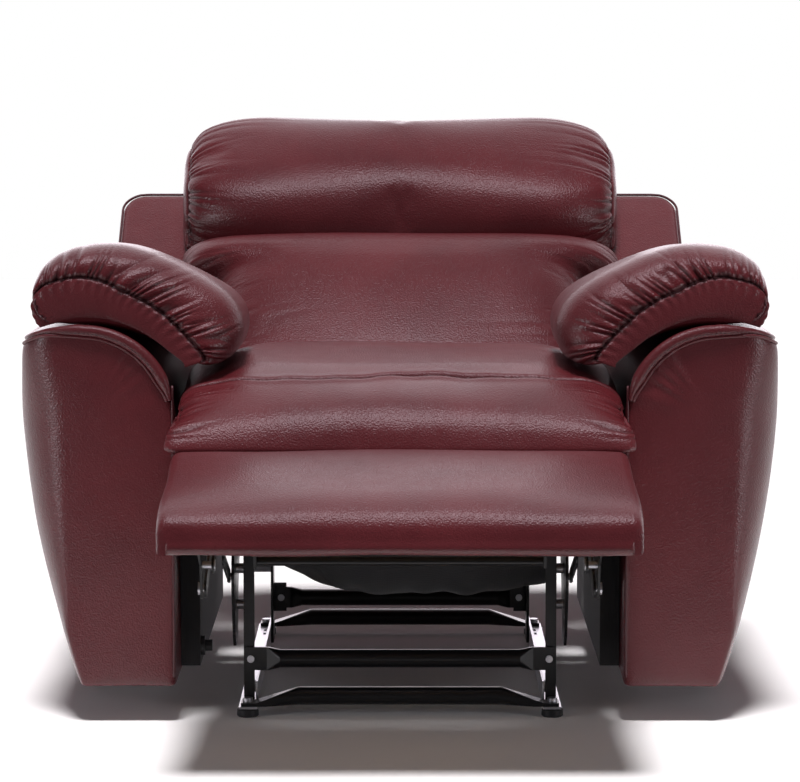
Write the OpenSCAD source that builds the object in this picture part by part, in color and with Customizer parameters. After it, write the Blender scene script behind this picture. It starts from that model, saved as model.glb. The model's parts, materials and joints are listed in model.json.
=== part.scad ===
// Manual recliner armchair, drawn fully reclined with its footrest open.
// +X is to the right of someone facing the chair, +Y runs from the footrest to the back, +Z is up.
// Inside the modules y = 0 is the front face of the arms; in_frame() moves the origin under the middle.

/* [Overall] */
// Width over both arms
chair_w = 1020; // [1000:5:1040]
// Depth of one arm box
arm_l = 740; // [700:5:745]
// Height of the arm box above the floor
arm_top = 537; // [530:1:540]
// Clearance under the arm box
arm_clear = 55; // [45:1:60]
// Distance from the middle of the chair to the inner face of an arm
arm_inner = 305; // [305:1:308]

/* [Seat] */
// Half width of the seat cushion
seat_half_w = 298; // [290:1:299]
// Height of the seat's crown
seat_crown = 487; // [480:1:492]
// Travel of the seat on its slide
seat_glide = 60; // [40:5:60]

/* [Back] */
// Angle between the reclined back and the vertical
recline_angle = 54; // [50:1:54]
// Length of the back from its hinge to the top of the headrest
back_l = 630; // [610:5:635]
// Half width of the outer back shell
shell_half_w = 449; // [430:1:455]
// Half width of the headrest
head_half_w = 345; // [330:1:350]

/* [Footrest] */
// Length of the footrest pad, front to back
foot_l = 288; // [270:1:290]
// Half width of the footrest pad
foot_half_w = 300; // [280:1:302]
// Thickness of the footrest with its board
foot_t = 50; // [46:1:52]
// Slope of the open footrest
foot_slope = 9.7; // [9:0.1:10]

/* [Mechanism] */
// Diameter of the steel tubes
tube_d = 25; // [22:1:26]
// Thickness of a link
link_t = 3; // [2.5:0.5:3]
// Radial play of a pin in its hole
play = 0.06; // [0.03:0.01:0.09]

/* [Hidden] */
$fn = 48;

steel_color = [0.04, 0.04, 0.045];
zinc_color = [0.55, 0.55, 0.58];
leather_color = [0.30, 0.07, 0.09];
wood_color = [0.62, 0.47, 0.30];
cloth_color = [0.05, 0.05, 0.05];
plastic_color = [0.06, 0.06, 0.06];

// Places of the pivots, as [y, z] in the plane of the side plates
foot_corner = [-104, 388];
drive_pivot = [86, 253];
knee_pivot = [-125, 274];
bracket_pivot = [-264, 228];
stay_drive_pivot = [-128, 302];
stay_foot_pivot = [-274, 260];
guide_pivot = [24, 198];
guide_front = [-126, 245];
back_hinge = [500, 330];
latch_pivot = [262, 276];

// Distances of the layers of the mechanism from the middle of the chair
plate_x = 226;
plate_t = 4;
plate_top = 332;
guide_x = 232;
stay_x = 237;
drive_x = 242;
cross_x = 247;
bracket_x = 252;
pin_r = 5;
liner_x = 278;
arm_wall = 14;
arch_r = 124;
side_bow = 76;
rail_x = 197;
rail_w = 25;
rail_z = 12.5;
soft_gap = 0.4;

// The origin lies midway between the footrest's front edge and the rear of the headrest
foot_round = 18;
head_round = 52;
head_rear = [back_l - 56, 30];
front_edge = foot_corner[0] + (foot_round - foot_l) * cos(foot_slope)
    + foot_round * sin(foot_slope) - foot_round;
rear_edge = back_hinge[0] + head_rear[0] * sin(recline_angle) - head_rear[1] * cos(recline_angle)
    + head_round;
mid_y = (front_edge + rear_edge) / 2;

module in_frame() translate([0, -mid_y, 0]) children();

// Both sides of the chair: side = -1 is the left of someone facing it
module both_sides() for (side = [-1, 1]) on_side(side) children();
module on_side(side) mirror([side < 0 ? 1 : 0, 0, 0]) children();

// A [y, z] outline extruded along +X from x, w long
module across(x, w) translate([x, 0, 0]) rotate([90, 0, 90]) linear_extrude(w) children();

// An [x, z] outline extruded along +Y from y0 to y1
module lengthwise(y0, y1) translate([0, y1, 0]) rotate([90, 0, 0]) linear_extrude(y1 - y0) children();

// A rod along +X, its axis at p = [y, z]
module rod(p, r, x, w) translate([x, p[0], p[1]]) rotate([0, 90, 0]) cylinder(r = r, h = w);

// A bar with round ends between two points of a plane
module bar_2d(p, q, r) {
    hull() {
        translate(p) circle(r);
        translate(q) circle(r);
    }
}

module holes_2d(points, r) for (p = points) translate(p) circle(r);

// A riveted pin through the links from x0 to x1, with a head at each end
module rivet(p, x0, x1, r = pin_r, head = 3) {
    rod(p, r, x0, x1 - x0);
    rod(p, r + 3, x1 + 0.3, head);
    rod(p, r, x1 - 0.1, 0.5);
}

// ---- Base ----

module floor_rail() {
    difference() {
        union() {
            translate([rail_x, 28, rail_z]) cube([rail_w, 674, 3]);
            translate([rail_x, 66, rail_z]) cube([3, 602, 32]);
        }
        for (y = [120, 150, 360, 390, 600, 630]) {
            translate([rail_x + 11, y, rail_z - 1]) cube([4, 16, 5]);
        }
        for (y = [44, 686]) translate([rail_x + 13, y, rail_z - 1]) cylinder(r = 4.2, h = 5);
    }
}
module floor_rail_left() { color(zinc_color) in_frame() on_side(-1) floor_rail(); }
module floor_rail_right() { color(zinc_color) in_frame() on_side(1) floor_rail(); }

module foot(y) {
    translate([rail_x + 13, y, 0]) rotate_extrude() {
        polygon([[0, 0], [13, 0], [15, 2], [15, 10], [13, rail_z], [0, rail_z]]);
    }
}
module front_feet() { color(plastic_color) in_frame() both_sides() foot(44); }
module rear_feet() { color(plastic_color) in_frame() both_sides() foot(686); }

// A tube along X whose ends drop and are crushed flat onto the rails
module arched_tube(y) {
    r = tube_d / 2;
    bend_x = 140;
    end_x = 186;
    high_z = 28.5;
    rod([y, high_z], r, -bend_x, 2 * bend_x);
    both_sides() {
        hull() {
            rod([y, high_z], r, bend_x - 1, 1);
            translate([end_x - 1, y - 14, rail_z + 3.2]) cube([1, 28, 9]);
        }
        hull() {
            translate([end_x - 1, y - 14, rail_z + 3.2]) cube([1, 28, 9]);
            translate([rail_x, y - 14, rail_z + 3.2]) cube([1, 28, 5]);
        }
        translate([rail_x, y - 14, rail_z + 3.2]) cube([rail_w - 3, 28, 5]);
    }
}
module base_tube_front() { color(steel_color) in_frame() arched_tube(44); }
module base_tube_rear() { color(steel_color) in_frame() arched_tube(686); }

// A straight tube along X whose crushed ends bolt to upright tabs
module crushed_tube(p, half_l, end_x) {
    r = tube_d / 2;
    rod(p, r, -half_l, 2 * half_l);
    both_sides() {
        hull() {
            rod(p, r, half_l - 0.5, 0.5);
            translate([half_l + 16, p[0] - 2.5, p[1] - 16]) cube([2, 5, 32]);
        }
        translate([half_l + 17, p[0] - 2.5, p[1] - 16]) cube([end_x - half_l - 17, 5, 32]);
    }
}
module torque_tube_front() { color(steel_color) in_frame() crushed_tube([58, 78], 166, 212); }
module torque_tube_rear() { color(steel_color) in_frame() crushed_tube([552, 82], 150, 188); }

// Angle uprights that carry the side plates on the floor rails
module front_stanchions() {
    color(steel_color) in_frame() both_sides() {
        translate([rail_x + 4, 61, rail_z + 3]) cube([15, 3, 210]);
        translate([213, 61, rail_z + 3]) cube([3, 42, 210]);
    }
}
module rear_stanchions() {
    color(steel_color) in_frame() both_sides() {
        translate([193, 528, rail_z + 3]) cube([4, 44, 190]);
        translate([174, 555, 60]) cube([19.5, 3, 44]);
    }
}

// Side plate of the mechanism, with its slide slots and pivot holes
module side_plate() {
    across(plate_x, plate_t) difference() {
        union() {
            polygon([[60, plate_top], [8, 215], [8, 180], [40, 112], [58, 96], [104, 96], [128, 170],
                [190, 236], [430, 236], [512, 112], [530, 96], [572, 96], [578, 130], [560, 286],
                [470, plate_top]]);
            translate(guide_pivot) circle(20);
        }
        for (y = [110, 330]) {
            translate([y, 315 - pin_r - 1 - play]) square([seat_glide, 2 * (pin_r + 1 + play)]);
            holes_2d([[y, 315], [y + seat_glide, 315]], pin_r + 1 + play);
        }
        holes_2d([[84, 150], [84, 200], [540, 130], [540, 175]], 4.2);
    }
}
module side_plate_left() { color(steel_color) in_frame() on_side(-1) side_plate(); }
module side_plate_right() { color(steel_color) in_frame() on_side(1) side_plate(); }

// Bolts, with their spacers, between the stanchions and the side plates, and into the rails
module base_bolts() {
    color(zinc_color) in_frame() both_sides() {
        for (p = [[84, 150], [84, 200]]) {
            rod(p, 7, 216.1, 9.8);
            rod(p, 4, 225.8, 5);
            rod(p, 6.5, 230.1, 3);
        }
        for (p = [[540, 130], [540, 175]]) {
            rod(p, 7, 197.1, 28.8);
            rod(p, 4, 225.8, 5);
            rod(p, 6.5, 230.1, 3);
        }
        for (y = [44, 686]) translate([rail_x + 13, y, rail_z + 8.3]) cylinder(r = 7, h = 5);
        for (y = [84, 110]) rod([y, 32], 6, rail_x + 3.1, 4);
        translate([206, 55.4, 78]) rotate([90, 0, 0]) cylinder(r = 5, h = 4);
        translate([182, 549.4, 82]) rotate([90, 0, 0]) cylinder(r = 5, h = 4);
    }
}

// Steel angles from the side plates out to the arms
module arm_brackets() {
    color(steel_color) in_frame() both_sides() for (y = [205, 420]) {
        translate([plate_x + plate_t + 0.05, y, 240]) cube([3, 44, 34]);
        translate([plate_x + plate_t + 0.05, y, 240]) cube([liner_x - plate_x - plate_t - 0.1, 44, 3]);
        translate([liner_x - 3.05, y, 240]) cube([3, 44, 34]);
    }
}

// ---- Arms ----

// Outline of an arm box in [x, z], shrunk by an inset: bowed outer side and arched inner corner
function arm_outline(inset) =
    let (
        out_x = chair_w / 2 - inset,
        top_z = arm_top - inset,
        low_z = arm_clear + inset,
        corner = 30,
        drop = arm_top - corner - arm_clear,
        bow_r = (drop * drop + side_bow * side_bow) / (2 * side_bow),
        arch_c = [arm_inner + arch_r, arm_top - arch_r],
        r_arch = arch_r - inset,
        r_corner = corner - inset
    )
    concat(
        [[arm_inner + inset, low_z], [out_x - side_bow, low_z]],
        [for (i = [1 : 10]) let (z = low_z + (arm_top - corner - low_z) * i / 10)
            [out_x - bow_r + sqrt(bow_r * bow_r - pow(arm_top - corner - z, 2)), z]],
        [for (a = [15 : 15 : 90]) [out_x - r_corner + r_corner * cos(a), top_z - r_corner + r_corner * sin(a)]],
        [for (a = [90 : 10 : 180]) arch_c + r_arch * [cos(a), sin(a)]]
    );

// Box of the release handle in the outer face of the left arm, as [y, z] low corner and size
bezel_at = [236, 374];
bezel_size = [112, 76];
bezel_depth = 40;
paddle_z = 436;
paddle_l = 34;

module arm_cover(side) {
    difference() {
        lengthwise(0, arm_l) polygon(arm_outline(0));
        lengthwise(arm_wall, arm_l - arm_wall) polygon(arm_outline(arm_wall));
        if (side < 0) {
            translate([chair_w / 2 - 60, bezel_at[0], bezel_at[1]])
                cube([70, bezel_size[0], bezel_size[1]]);
            rod([330, 190], 4.5, arm_inner - 1, arm_wall + 2);
        }
    }
}
module arm_cover_left() { color(leather_color) in_frame() on_side(-1) arm_cover(-1); }
module arm_cover_right() { color(leather_color) in_frame() on_side(1) arm_cover(1); }

// Board inside each arm that the steel angles bolt to
module arm_panels() {
    color(wood_color) in_frame() for (side = [-1, 1]) on_side(side) difference() {
        translate([arm_inner + arm_wall + 1, 40, 80]) cube([16, 660, 330]);
        rod([330, 190], 5, arm_inner + arm_wall, 20);
    }
}

// Timber posts and rails inside each arm
module arm_posts() {
    color(wood_color) in_frame() both_sides() {
        for (y = [20, 684]) translate([345, y, 75]) cube([60, 36, 370]);
        translate([390, 60, 478]) cube([60, 620, 36]);
        translate([345, 60, 75]) cube([60, 620, 36]);
    }
}

// Black lining board on the inner face of each arm
module arm_liner(side) {
    difference() {
        translate([liner_x, 90, 62]) cube([arm_inner - liner_x - 0.2, 590, 238]);
        if (side < 0) rod([330, 190], 4.5, liner_x - 1, 30);
    }
}
module arm_liner_left() { color(cloth_color) in_frame() on_side(-1) arm_liner(-1); }
module arm_liner_right() { color(cloth_color) in_frame() on_side(1) arm_liner(1); }

// Plastic stub low on the lining of the left arm
module liner_stub() {
    color(plastic_color) in_frame() on_side(-1) {
        rod([106, 88], 14, liner_x - 6, 5.9);
        rod([106, 88], 8, liner_x - 16, 10.5);
    }
}

// A pillow arm pad: three lobes side by side, the inner one drooping towards the seat
pad_lobes = [[446, 590, 52], [380, 593, 58], [315, 569, 62], [272, 545, 60]];
pad_front = 8;
pad_taper = 220;
pad_narrow = 395;
pad_end = 500;

module pad_slice(lobe, y) {
    translate([lobe[0], y, lobe[1]]) rotate([-90, 0, 0]) cylinder(r = lobe[2], h = 2, $fn = 32);
}
module arm_pad() {
    difference() {
        union() {
            for (i = [0 : 2]) hull() for (k = [i, i + 1]) {
                pad_slice([pad_lobes[k][0], pad_lobes[k][1], pad_lobes[k][2] - 16], pad_front);
                pad_slice(pad_lobes[k], pad_front + 18);
                pad_slice(pad_lobes[k], pad_taper);
            }
            hull() {
                for (k = [0 : 2]) pad_slice(pad_lobes[k], pad_taper);
                for (k = [0, 1]) pad_slice(pad_lobes[k], pad_end - 20);
                for (x = [446, 386]) pad_slice([x, 590, 40], pad_end);
            }
            hull() {
                for (k = [2, 3]) pad_slice(pad_lobes[k], pad_taper);
                pad_slice([364, 585, 50], pad_narrow);
            }
        }
        lengthwise(-1, arm_l + 1) polygon(arm_outline(-soft_gap));
    }
}
module arm_pad_left() { color(leather_color) in_frame() on_side(-1) arm_pad(); }
module arm_pad_right() { color(leather_color) in_frame() on_side(1) arm_pad(); }

// ---- Release handle ----

module release_bezel() {
    color(plastic_color) in_frame() on_side(-1) difference() {
        translate([chair_w / 2 - bezel_depth - 4, bezel_at[0] + 0.2, bezel_at[1] + 0.2])
            cube([bezel_depth, bezel_size[0] - 0.4, bezel_size[1] - 0.4]);
        translate([chair_w / 2 - bezel_depth - 1, bezel_at[0] + 4, bezel_at[1] + 4])
            cube([bezel_depth + 2, bezel_size[0] - 8, bezel_size[1] - 8]);
        trunnion(bezel_at[0] - 1, bezel_size[0] + 2, 3 + play);
    }
}
module trunnion(y, w, r) {
    translate([chair_w / 2 - 14, y, paddle_z]) rotate([-90, 0, 0]) cylinder(r = r, h = w);
}

// Finger paddle that hangs from its own trunnions at the top of the bezel
module release_paddle() {
    x = chair_w / 2 - 14;
    color(plastic_color) in_frame() on_side(-1) {
        trunnion(bezel_at[0] + 1, bezel_size[0] - 2, 3);
        trunnion(bezel_at[0] + 6, bezel_size[0] - 12, 4.5);
        translate([x - 2, bezel_at[0] + 8, paddle_z - paddle_l]) cube([5, bezel_size[0] - 16, paddle_l]);
        translate([x - 8, bezel_at[0] + 30, paddle_z - paddle_l]) cube([7, bezel_size[0] - 60, 6]);
    }
}

// Points of the release cable, from the bezel down inside the arm and across to the side plate
cable_route = [[-478, 300, 373], [-474, 301, 350], [-458, 304, 318], [-436, 310, 285],
    [-408, 318, 250], [-378, 326, 216], [-354, 330, 196], [-335, 330, 190], [-305, 330, 190], [-270, 330, 190],
    [-246, 330, 191], [-229, 330, 196], [-219, 330, 206], [-216, 330, 218], [-216, 330, 229]];
cable_r = 2.6;
cable_sides = 8;

// Closed tube swept along a list of points, its rings square to the mean of the two neighbouring steps
module swept_tube(path, r, sides) {
    n = len(path);
    function unit(v) = v / norm(v);
    ring = function (i) let (
        t = unit(path[min(i + 1, n - 1)] - path[max(i - 1, 0)]),
        a = unit(cross([0, 1, 0.001], t)),
        b = cross(t, a)
    ) [for (k = [0 : sides - 1]) path[i] + r * (cos(360 * k / sides) * a + sin(360 * k / sides) * b)];
    points = [for (i = [0 : n - 1]) each ring(i)];
    walls = [for (i = [0 : n - 2], k = [0 : sides - 1])
        [i * sides + k, i * sides + (k + 1) % sides, (i + 1) * sides + (k + 1) % sides, (i + 1) * sides + k]];
    caps = [[for (k = [sides - 1 : -1 : 0]) k], [for (k = [0 : sides - 1]) (n - 1) * sides + k]];
    polyhedron(points, concat(walls, caps));
}
module release_cable() { color(plastic_color) in_frame() swept_tube(cable_route, cable_r, cable_sides); }
module cable_anchor() {
    color(zinc_color) in_frame() on_side(-1) translate([plate_x - 16, 323, 229.1]) cube([15.9, 14, 14]);
}

// Lever on the side plate that the cable turns to let the mechanism go
module latch_lever() {
    color(zinc_color) in_frame() on_side(-1) across(plate_x - 8, 4) difference() {
        union() {
            bar_2d(latch_pivot, latch_pivot + [46, -16], 9);
            bar_2d(latch_pivot, latch_pivot + [-22, 6], 9);
        }
        translate(latch_pivot) circle(pin_r + play);
    }
}
module latch_pin() {
    color(zinc_color) in_frame() on_side(-1) {
        rod(latch_pivot, pin_r, plate_x - 10, 9.9);
        rod(latch_pivot, pin_r + 3, plate_x - 3.5, 3.4);
        rod(latch_pivot, pin_r + 3, plate_x - 12, 3.5);
    }
}

// ---- Footrest mechanism ----

// Pins of the side plates that the drive links and guide links turn on
module frame_pins() {
    color(zinc_color) in_frame() both_sides() {
        rivet(drive_pivot, plate_x + plate_t + 0.05, drive_x + link_t);
        rod(drive_pivot, pin_r + 4, plate_x + plate_t + 0.05, drive_x - plate_x - plate_t - 0.5);
        rivet(guide_pivot, plate_x + plate_t + 0.05, guide_x + link_t, pin_r, 1.2);
    }
}

module drive_links() {
    color(steel_color) in_frame() both_sides() across(drive_x, link_t) difference() {
        union() {
            bar_2d(drive_pivot, knee_pivot, 13);
            bar_2d(knee_pivot, stay_drive_pivot, 11);
        }
        translate(drive_pivot) circle(pin_r + play);
    }
}

// Pins on the drive links, for the cross links outside and the stay links inside
module knee_pins() {
    color(zinc_color) in_frame() both_sides() {
        rivet(knee_pivot, drive_x + link_t + 0.05, cross_x + link_t, pin_r, 1.6);
        mirror_pin(stay_drive_pivot, drive_x - 0.05, stay_x);
    }
}

// A pin that stands inwards from x1 through the link whose inner face is at x0
module mirror_pin(p, x1, x0) {
    rod(p, pin_r, x0 - 0.4, x1 - x0 + 0.4);
    rod(p, pin_r + 2.5, x0 - 1.5, 1.2);
}

module cross_links() {
    color(steel_color) in_frame() both_sides() across(cross_x, link_t) difference() {
        union() {
            bar_2d(knee_pivot, bracket_pivot, 12);
            bar_2d(knee_pivot, guide_front, 10);
        }
        translate(knee_pivot) circle(pin_r + play);
    }
}
module bracket_pins() {
    color(zinc_color) in_frame() both_sides() rivet(bracket_pivot, cross_x + link_t + 0.05, bracket_x + link_t);
}

// Slim stay between the drive link and the footrest bracket; its front hole is oversize
module stay_links() {
    color(steel_color) in_frame() both_sides() across(stay_x, link_t) difference() {
        bar_2d(stay_drive_pivot, stay_foot_pivot, 11);
        translate(stay_drive_pivot) circle(pin_r + play);
        translate(stay_foot_pivot) circle(7);
    }
}
module guide_links() {
    color(steel_color) in_frame() both_sides() {
        across(guide_x, link_t) difference() {
            bar_2d(guide_pivot, guide_front, 9);
            translate(guide_pivot) circle(pin_r + play);
        }
    }
}

// Plates under the footrest board that the links carry
module footrest_brackets() {
    color(steel_color) in_frame() both_sides() difference() {
        union() {
            across(bracket_x, link_t) {
                bar_2d(bracket_pivot, stay_foot_pivot, 13);
                polygon([[-176, 323], [-252, 222], [-276, 222], [-290, 262], [-352, 293]]);
            }
            on_footrest() translate([bracket_x, -256, -foot_t - 3.1]) cube([22, 176, 3]);
        }
        rod(bracket_pivot, pin_r + play, bracket_x - 1, link_t + 2);
    }
}

// Pins of the footrest brackets in the oversize holes of the stay links
module stay_pins() {
    color(zinc_color) in_frame() both_sides() mirror_pin(stay_foot_pivot, bracket_x - 0.05, stay_x);
}

// Places its children on the footrest: local -Y runs forward along it and local +Z leaves its top
module on_footrest() {
    translate([0, foot_corner[0], foot_corner[1]]) rotate([foot_slope, 0, 0]) children();
}
board_t = 12;
module footrest_board() {
    color(wood_color) in_frame() on_footrest()
        translate([-foot_half_w + 12, -foot_l + 12, -foot_t]) cube([2 * foot_half_w - 24, foot_l - 24, board_t]);
}
module footrest_pad() {
    r = foot_round;
    pad_low = foot_t - board_t - soft_gap;
    color(leather_color) in_frame() on_footrest() hull() for (x = [-1, 1]) {
        for (y = [-foot_l + r, -r]) translate([x * (foot_half_w - r), y, -r]) sphere(r, $fn = 32);
        for (y = [-foot_l + r, -r]) translate([x * (foot_half_w - r), y, -pad_low])
            cylinder(r = r, h = 4, $fn = 32);
    }
}
module footrest_tie_bar() {
    color(steel_color) in_frame() on_footrest() {
        translate([-187, -98, -123]) rotate([0, 90, 0]) cylinder(r = 6, h = 374);
        both_sides() {
            translate([187, -110, -129]) cube([4, 24, 129 - foot_t - 0.1]);
            translate([187, -110, -foot_t - 3.1]) cube([24, 24, 3]);
        }
    }
}

// ---- Seat ----

rail_low = 300;
rail_top = 335;
cross_half_w = plate_x - 0.5;
module seat_side_rails() {
    color(steel_color) in_frame() both_sides() {
        difference() {
            translate([236, 30, rail_low]) cube([26, 355, rail_top - rail_low]);
            for (y = [110, 330]) rod([y, 315], pin_r + 1 + play, 235, 28);
        }
        // Straps over the side plate to the cross rails
        for (y = [31, 353]) translate([206, y, rail_top]) cube([56, 26, 3]);
    }
}
module seat_cross_rails() {
    color(wood_color) in_frame() for (y = [30, 352]) {
        translate([-cross_half_w, y, rail_low]) cube([2 * cross_half_w, 28, rail_top - rail_low - 0.1]);
    }
}
module seat_slide_pins() {
    color(zinc_color) in_frame() both_sides() for (y = [110, 330]) {
        rod([y, 315], pin_r + 1, plate_x - 2, 264 - plate_x);
        rod([y, 315], 10, plate_x - 5, 3.1);
    }
}
module hinge_plates() {
    color(steel_color) in_frame() both_sides() across(262.1, 3) difference() {
        union() {
            bar_2d([330, 318], back_hinge, 17);
            translate([300, 301]) square([60, 34]);
        }
        translate(back_hinge) circle(pin_r + 1.02);
        translate([330, 315]) circle(pin_r + 1 + play);
    }
}
module back_hinge_pins() {
    color(zinc_color) in_frame() both_sides() {
        rod(back_hinge, pin_r + 1, 260, 12.2);
        rod(back_hinge, 10, 257, 5);
        rod(back_hinge, 10, 272, 3);
    }
}

// Five sinuous springs, each a row of half rings laid on the cross rails
spring_r = 20;
spring_wire = 3;
module spring_2d() {
    for (i = [0 : 6]) translate([0, 62 + spring_r + 2 * spring_r * i]) {
        difference() {
            circle(spring_r + spring_wire / 2);
            circle(spring_r - spring_wire / 2);
            translate([i % 2 == 0 ? -2 * spring_r : 0, -2 * spring_r]) square([2 * spring_r, 4 * spring_r]);
        }
    }
    translate([-spring_wire / 2, 40]) square([spring_wire, 22 + spring_wire / 2]);
    translate([-spring_wire / 2, 62 + 14 * spring_r - spring_wire / 2]) square([spring_wire, 28]);
}
module seat_springs() {
    color(zinc_color) in_frame() for (i = [-2 : 2]) {
        translate([90 * i, 0, rail_top + 0.1]) linear_extrude(spring_wire) spring_2d();
    }
}

// Profile of the seat cushion: a rounded nose at the front, then a crown, then a straight rear face
nose_c = [-60, 424];
nose_r = 38;
rear_r = 40;
function arc(c, r, a0, a1, n) = [for (i = [0 : n]) let (a = a0 + (a1 - a0) * i / n) c + r * [cos(a), sin(a)]];
module seat_profile() {
    polygon(concat(
        [[385, 340], [60, 340], [22, 390]],
        arc(nose_c, nose_r, 270, 90, 18),
        [[120, nose_c[1] + nose_r + 2], [230, seat_crown - 6], [300, seat_crown]],
        arc([385 - rear_r, seat_crown - rear_r], rear_r, 90, 0, 9)));
}
module seat_cushion() { color(leather_color) in_frame() across(-seat_half_w, 2 * seat_half_w) seat_profile(); }

// Cloth tacked under both cross rails and slung below the springs, with a flat lip in front that clears the tie bar
function sling(a, half_l, drop) = [222 + half_l * sign(cos(a)) * pow(abs(cos(a)), 0.6),
    rail_low - drop * pow(abs(sin(a)), 0.6)];
module seat_dust_cover() {
    color(cloth_color) in_frame() across(-208, 416) polygon(concat(
        [[379, rail_low], [379, rail_low - 2], [362, rail_low - 2]],
        [for (a = [10 : 10 : 170]) sling(a, 140, 148)],
        [[82, rail_low - 2], [32, rail_low - 2], [32, rail_low], [84, rail_low]],
        [for (a = [170 : -10 : 10]) sling(a, 138, 146)],
        [[360, rail_low]]));
}

// ---- Back ----

// Places its children on the back: the origin at the hinge, local +Y up along the back, +Z to the sitter
module on_back() {
    translate([0, back_hinge[0], back_hinge[1]]) rotate([90 - recline_angle, 0, 0]) children();
}
shell_rear = -60;
shell_front = 40;
shell_low = 60;
wing_low = 330;
shell_top = 550;

module back_brackets() {
    color(steel_color) in_frame() both_sides() on_back() across(268, 3) difference() {
        union() {
            circle(18);
            bar_2d([0, 0], [80, -12], 18);
            translate([80, -30]) square([110, 36]);
        }
        circle(pin_r + 1 + play);
    }
}
module back_bolts() {
    color(zinc_color) in_frame() both_sides() on_back() for (u = [105, 165]) {
        rod([u, -12], 8, 262.1, 5.8);
        rod([u, -12], 6.5, 271.1, 3);
    }
}

// A rounded rectangle in [x, u], half_w to each side
module rounded_panel(half_w, u0, u1, r) {
    hull() for (x = [-half_w + r, half_w - r], u = [u0 + r, u1 - r]) translate([x, u]) circle(r, $fn = 32);
}

// Upholstered outer shell of the back: a narrow lower part between the arms and wide wings above them
module back_shell() {
    wall = 12;
    color(leather_color) in_frame() on_back() difference() {
        union() {
            translate([0, 0, shell_rear]) linear_extrude(shell_front - shell_rear)
                rounded_panel(262, shell_low, 400, 12);
            translate([0, 0, shell_rear]) linear_extrude(shell_front - shell_rear)
                rounded_panel(290, 205, 400, 12);
            translate([0, 0, shell_rear]) linear_extrude(shell_front - shell_rear)
                rounded_panel(shell_half_w, wing_low, shell_top, 42);
        }
        translate([0, 0, shell_rear + wall]) linear_extrude(shell_front - shell_rear - 2 * wall) {
            rounded_panel(262 - wall, shell_low + wall, 400, 6);
            rounded_panel(shell_half_w - wall, wing_low + wall, shell_top - wall, 30);
        }
    }
}
module back_posts() {
    color(wood_color) in_frame() on_back() both_sides()
        translate([212, 76, -44]) cube([36, 456, 60]);
}
module back_rails() {
    color(wood_color) in_frame() on_back() for (u = [80, 290, 490]) {
        translate([-211.9, u, -40]) cube([423.8, 36, 50]);
    }
}

// Lumbar cushion: a block in front of the shell that ends in a roll turning about the hinge
roll_r = 110;
roll_half_w = 222;
lumbar_half_w = 290;
module lumbar_profile() {
    hull() {
        translate([64, 84]) circle(42);
        translate([290, 88]) circle(62);
        translate([30, shell_front + 1]) square([300, 2]);
    }
}
module lumbar_cushion() {
    color(leather_color) in_frame() on_back() {
        across(-lumbar_half_w, 2 * lumbar_half_w) intersection() {
            lumbar_profile();
            translate([12, shell_front + soft_gap]) square([334, 150]);
        }
        across(-roll_half_w, 2 * roll_half_w) difference() {
            circle(roll_r, $fn = 96);
            translate([shell_low - 6, -200]) square([200, 200 + shell_front + soft_gap]);
            rotate(150) translate([-300, 0]) square([600, 300]);
            translate([-200, -200]) square([400, 200]);
        }
        hull() for (x = [-1, 1]) translate([x * 322, 350, 66]) sphere(22, $fn = 32);
    }
}

// Headrest: a fat roll across the top of the back
module headrest_cushion() {
    end_x = head_half_w - head_round;
    color(leather_color) in_frame() on_back() difference() {
        hull() for (x = [-end_x, end_x]) {
            translate([x, 424, 112]) sphere(head_round, $fn = 32);
            translate([x, back_l - 56, 104]) sphere(head_round + 8, $fn = 32);
            translate([x, head_rear[0], head_rear[1]]) sphere(head_round, $fn = 32);
        }
        translate([-500, 300, -300]) cube([1000, shell_top - 300 + soft_gap, 300 + shell_front + soft_gap]);
    }
}

floor_rail_left();
floor_rail_right();
front_feet();
rear_feet();
base_tube_front();
base_tube_rear();
torque_tube_front();
torque_tube_rear();
front_stanchions();
rear_stanchions();
side_plate_left();
side_plate_right();
base_bolts();
arm_brackets();
arm_liner_left();
arm_liner_right();
arm_cover_left();
arm_cover_right();
arm_panels();
arm_posts();
arm_pad_left();
arm_pad_right();
liner_stub();
release_bezel();
release_paddle();
release_cable();
cable_anchor();
latch_lever();
latch_pin();
frame_pins();
drive_links();
knee_pins();
cross_links();
bracket_pins();
stay_links();
guide_links();
footrest_brackets();
stay_pins();
footrest_board();
footrest_pad();
footrest_tie_bar();
seat_side_rails();
seat_cross_rails();
seat_slide_pins();
hinge_plates();
back_hinge_pins();
seat_springs();
seat_cushion();
seat_dust_cover();
back_brackets();
back_bolts();
back_posts();
back_rails();
back_shell();
lumbar_cushion();
headrest_cushion();
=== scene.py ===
"""Recliner armchair: the looks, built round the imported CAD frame.

Metres, +X to the viewer's right, +Y towards the back, +Z up. Soft pieces are closed grids of rings. The
pillows are puffed by a short cloth simulation, then all are subdivided and get their gathers as relief.
"""

import json
import math

import bmesh
import bpy
import numpy as np
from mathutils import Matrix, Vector
from mathutils.bvhtree import BVHTree


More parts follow.
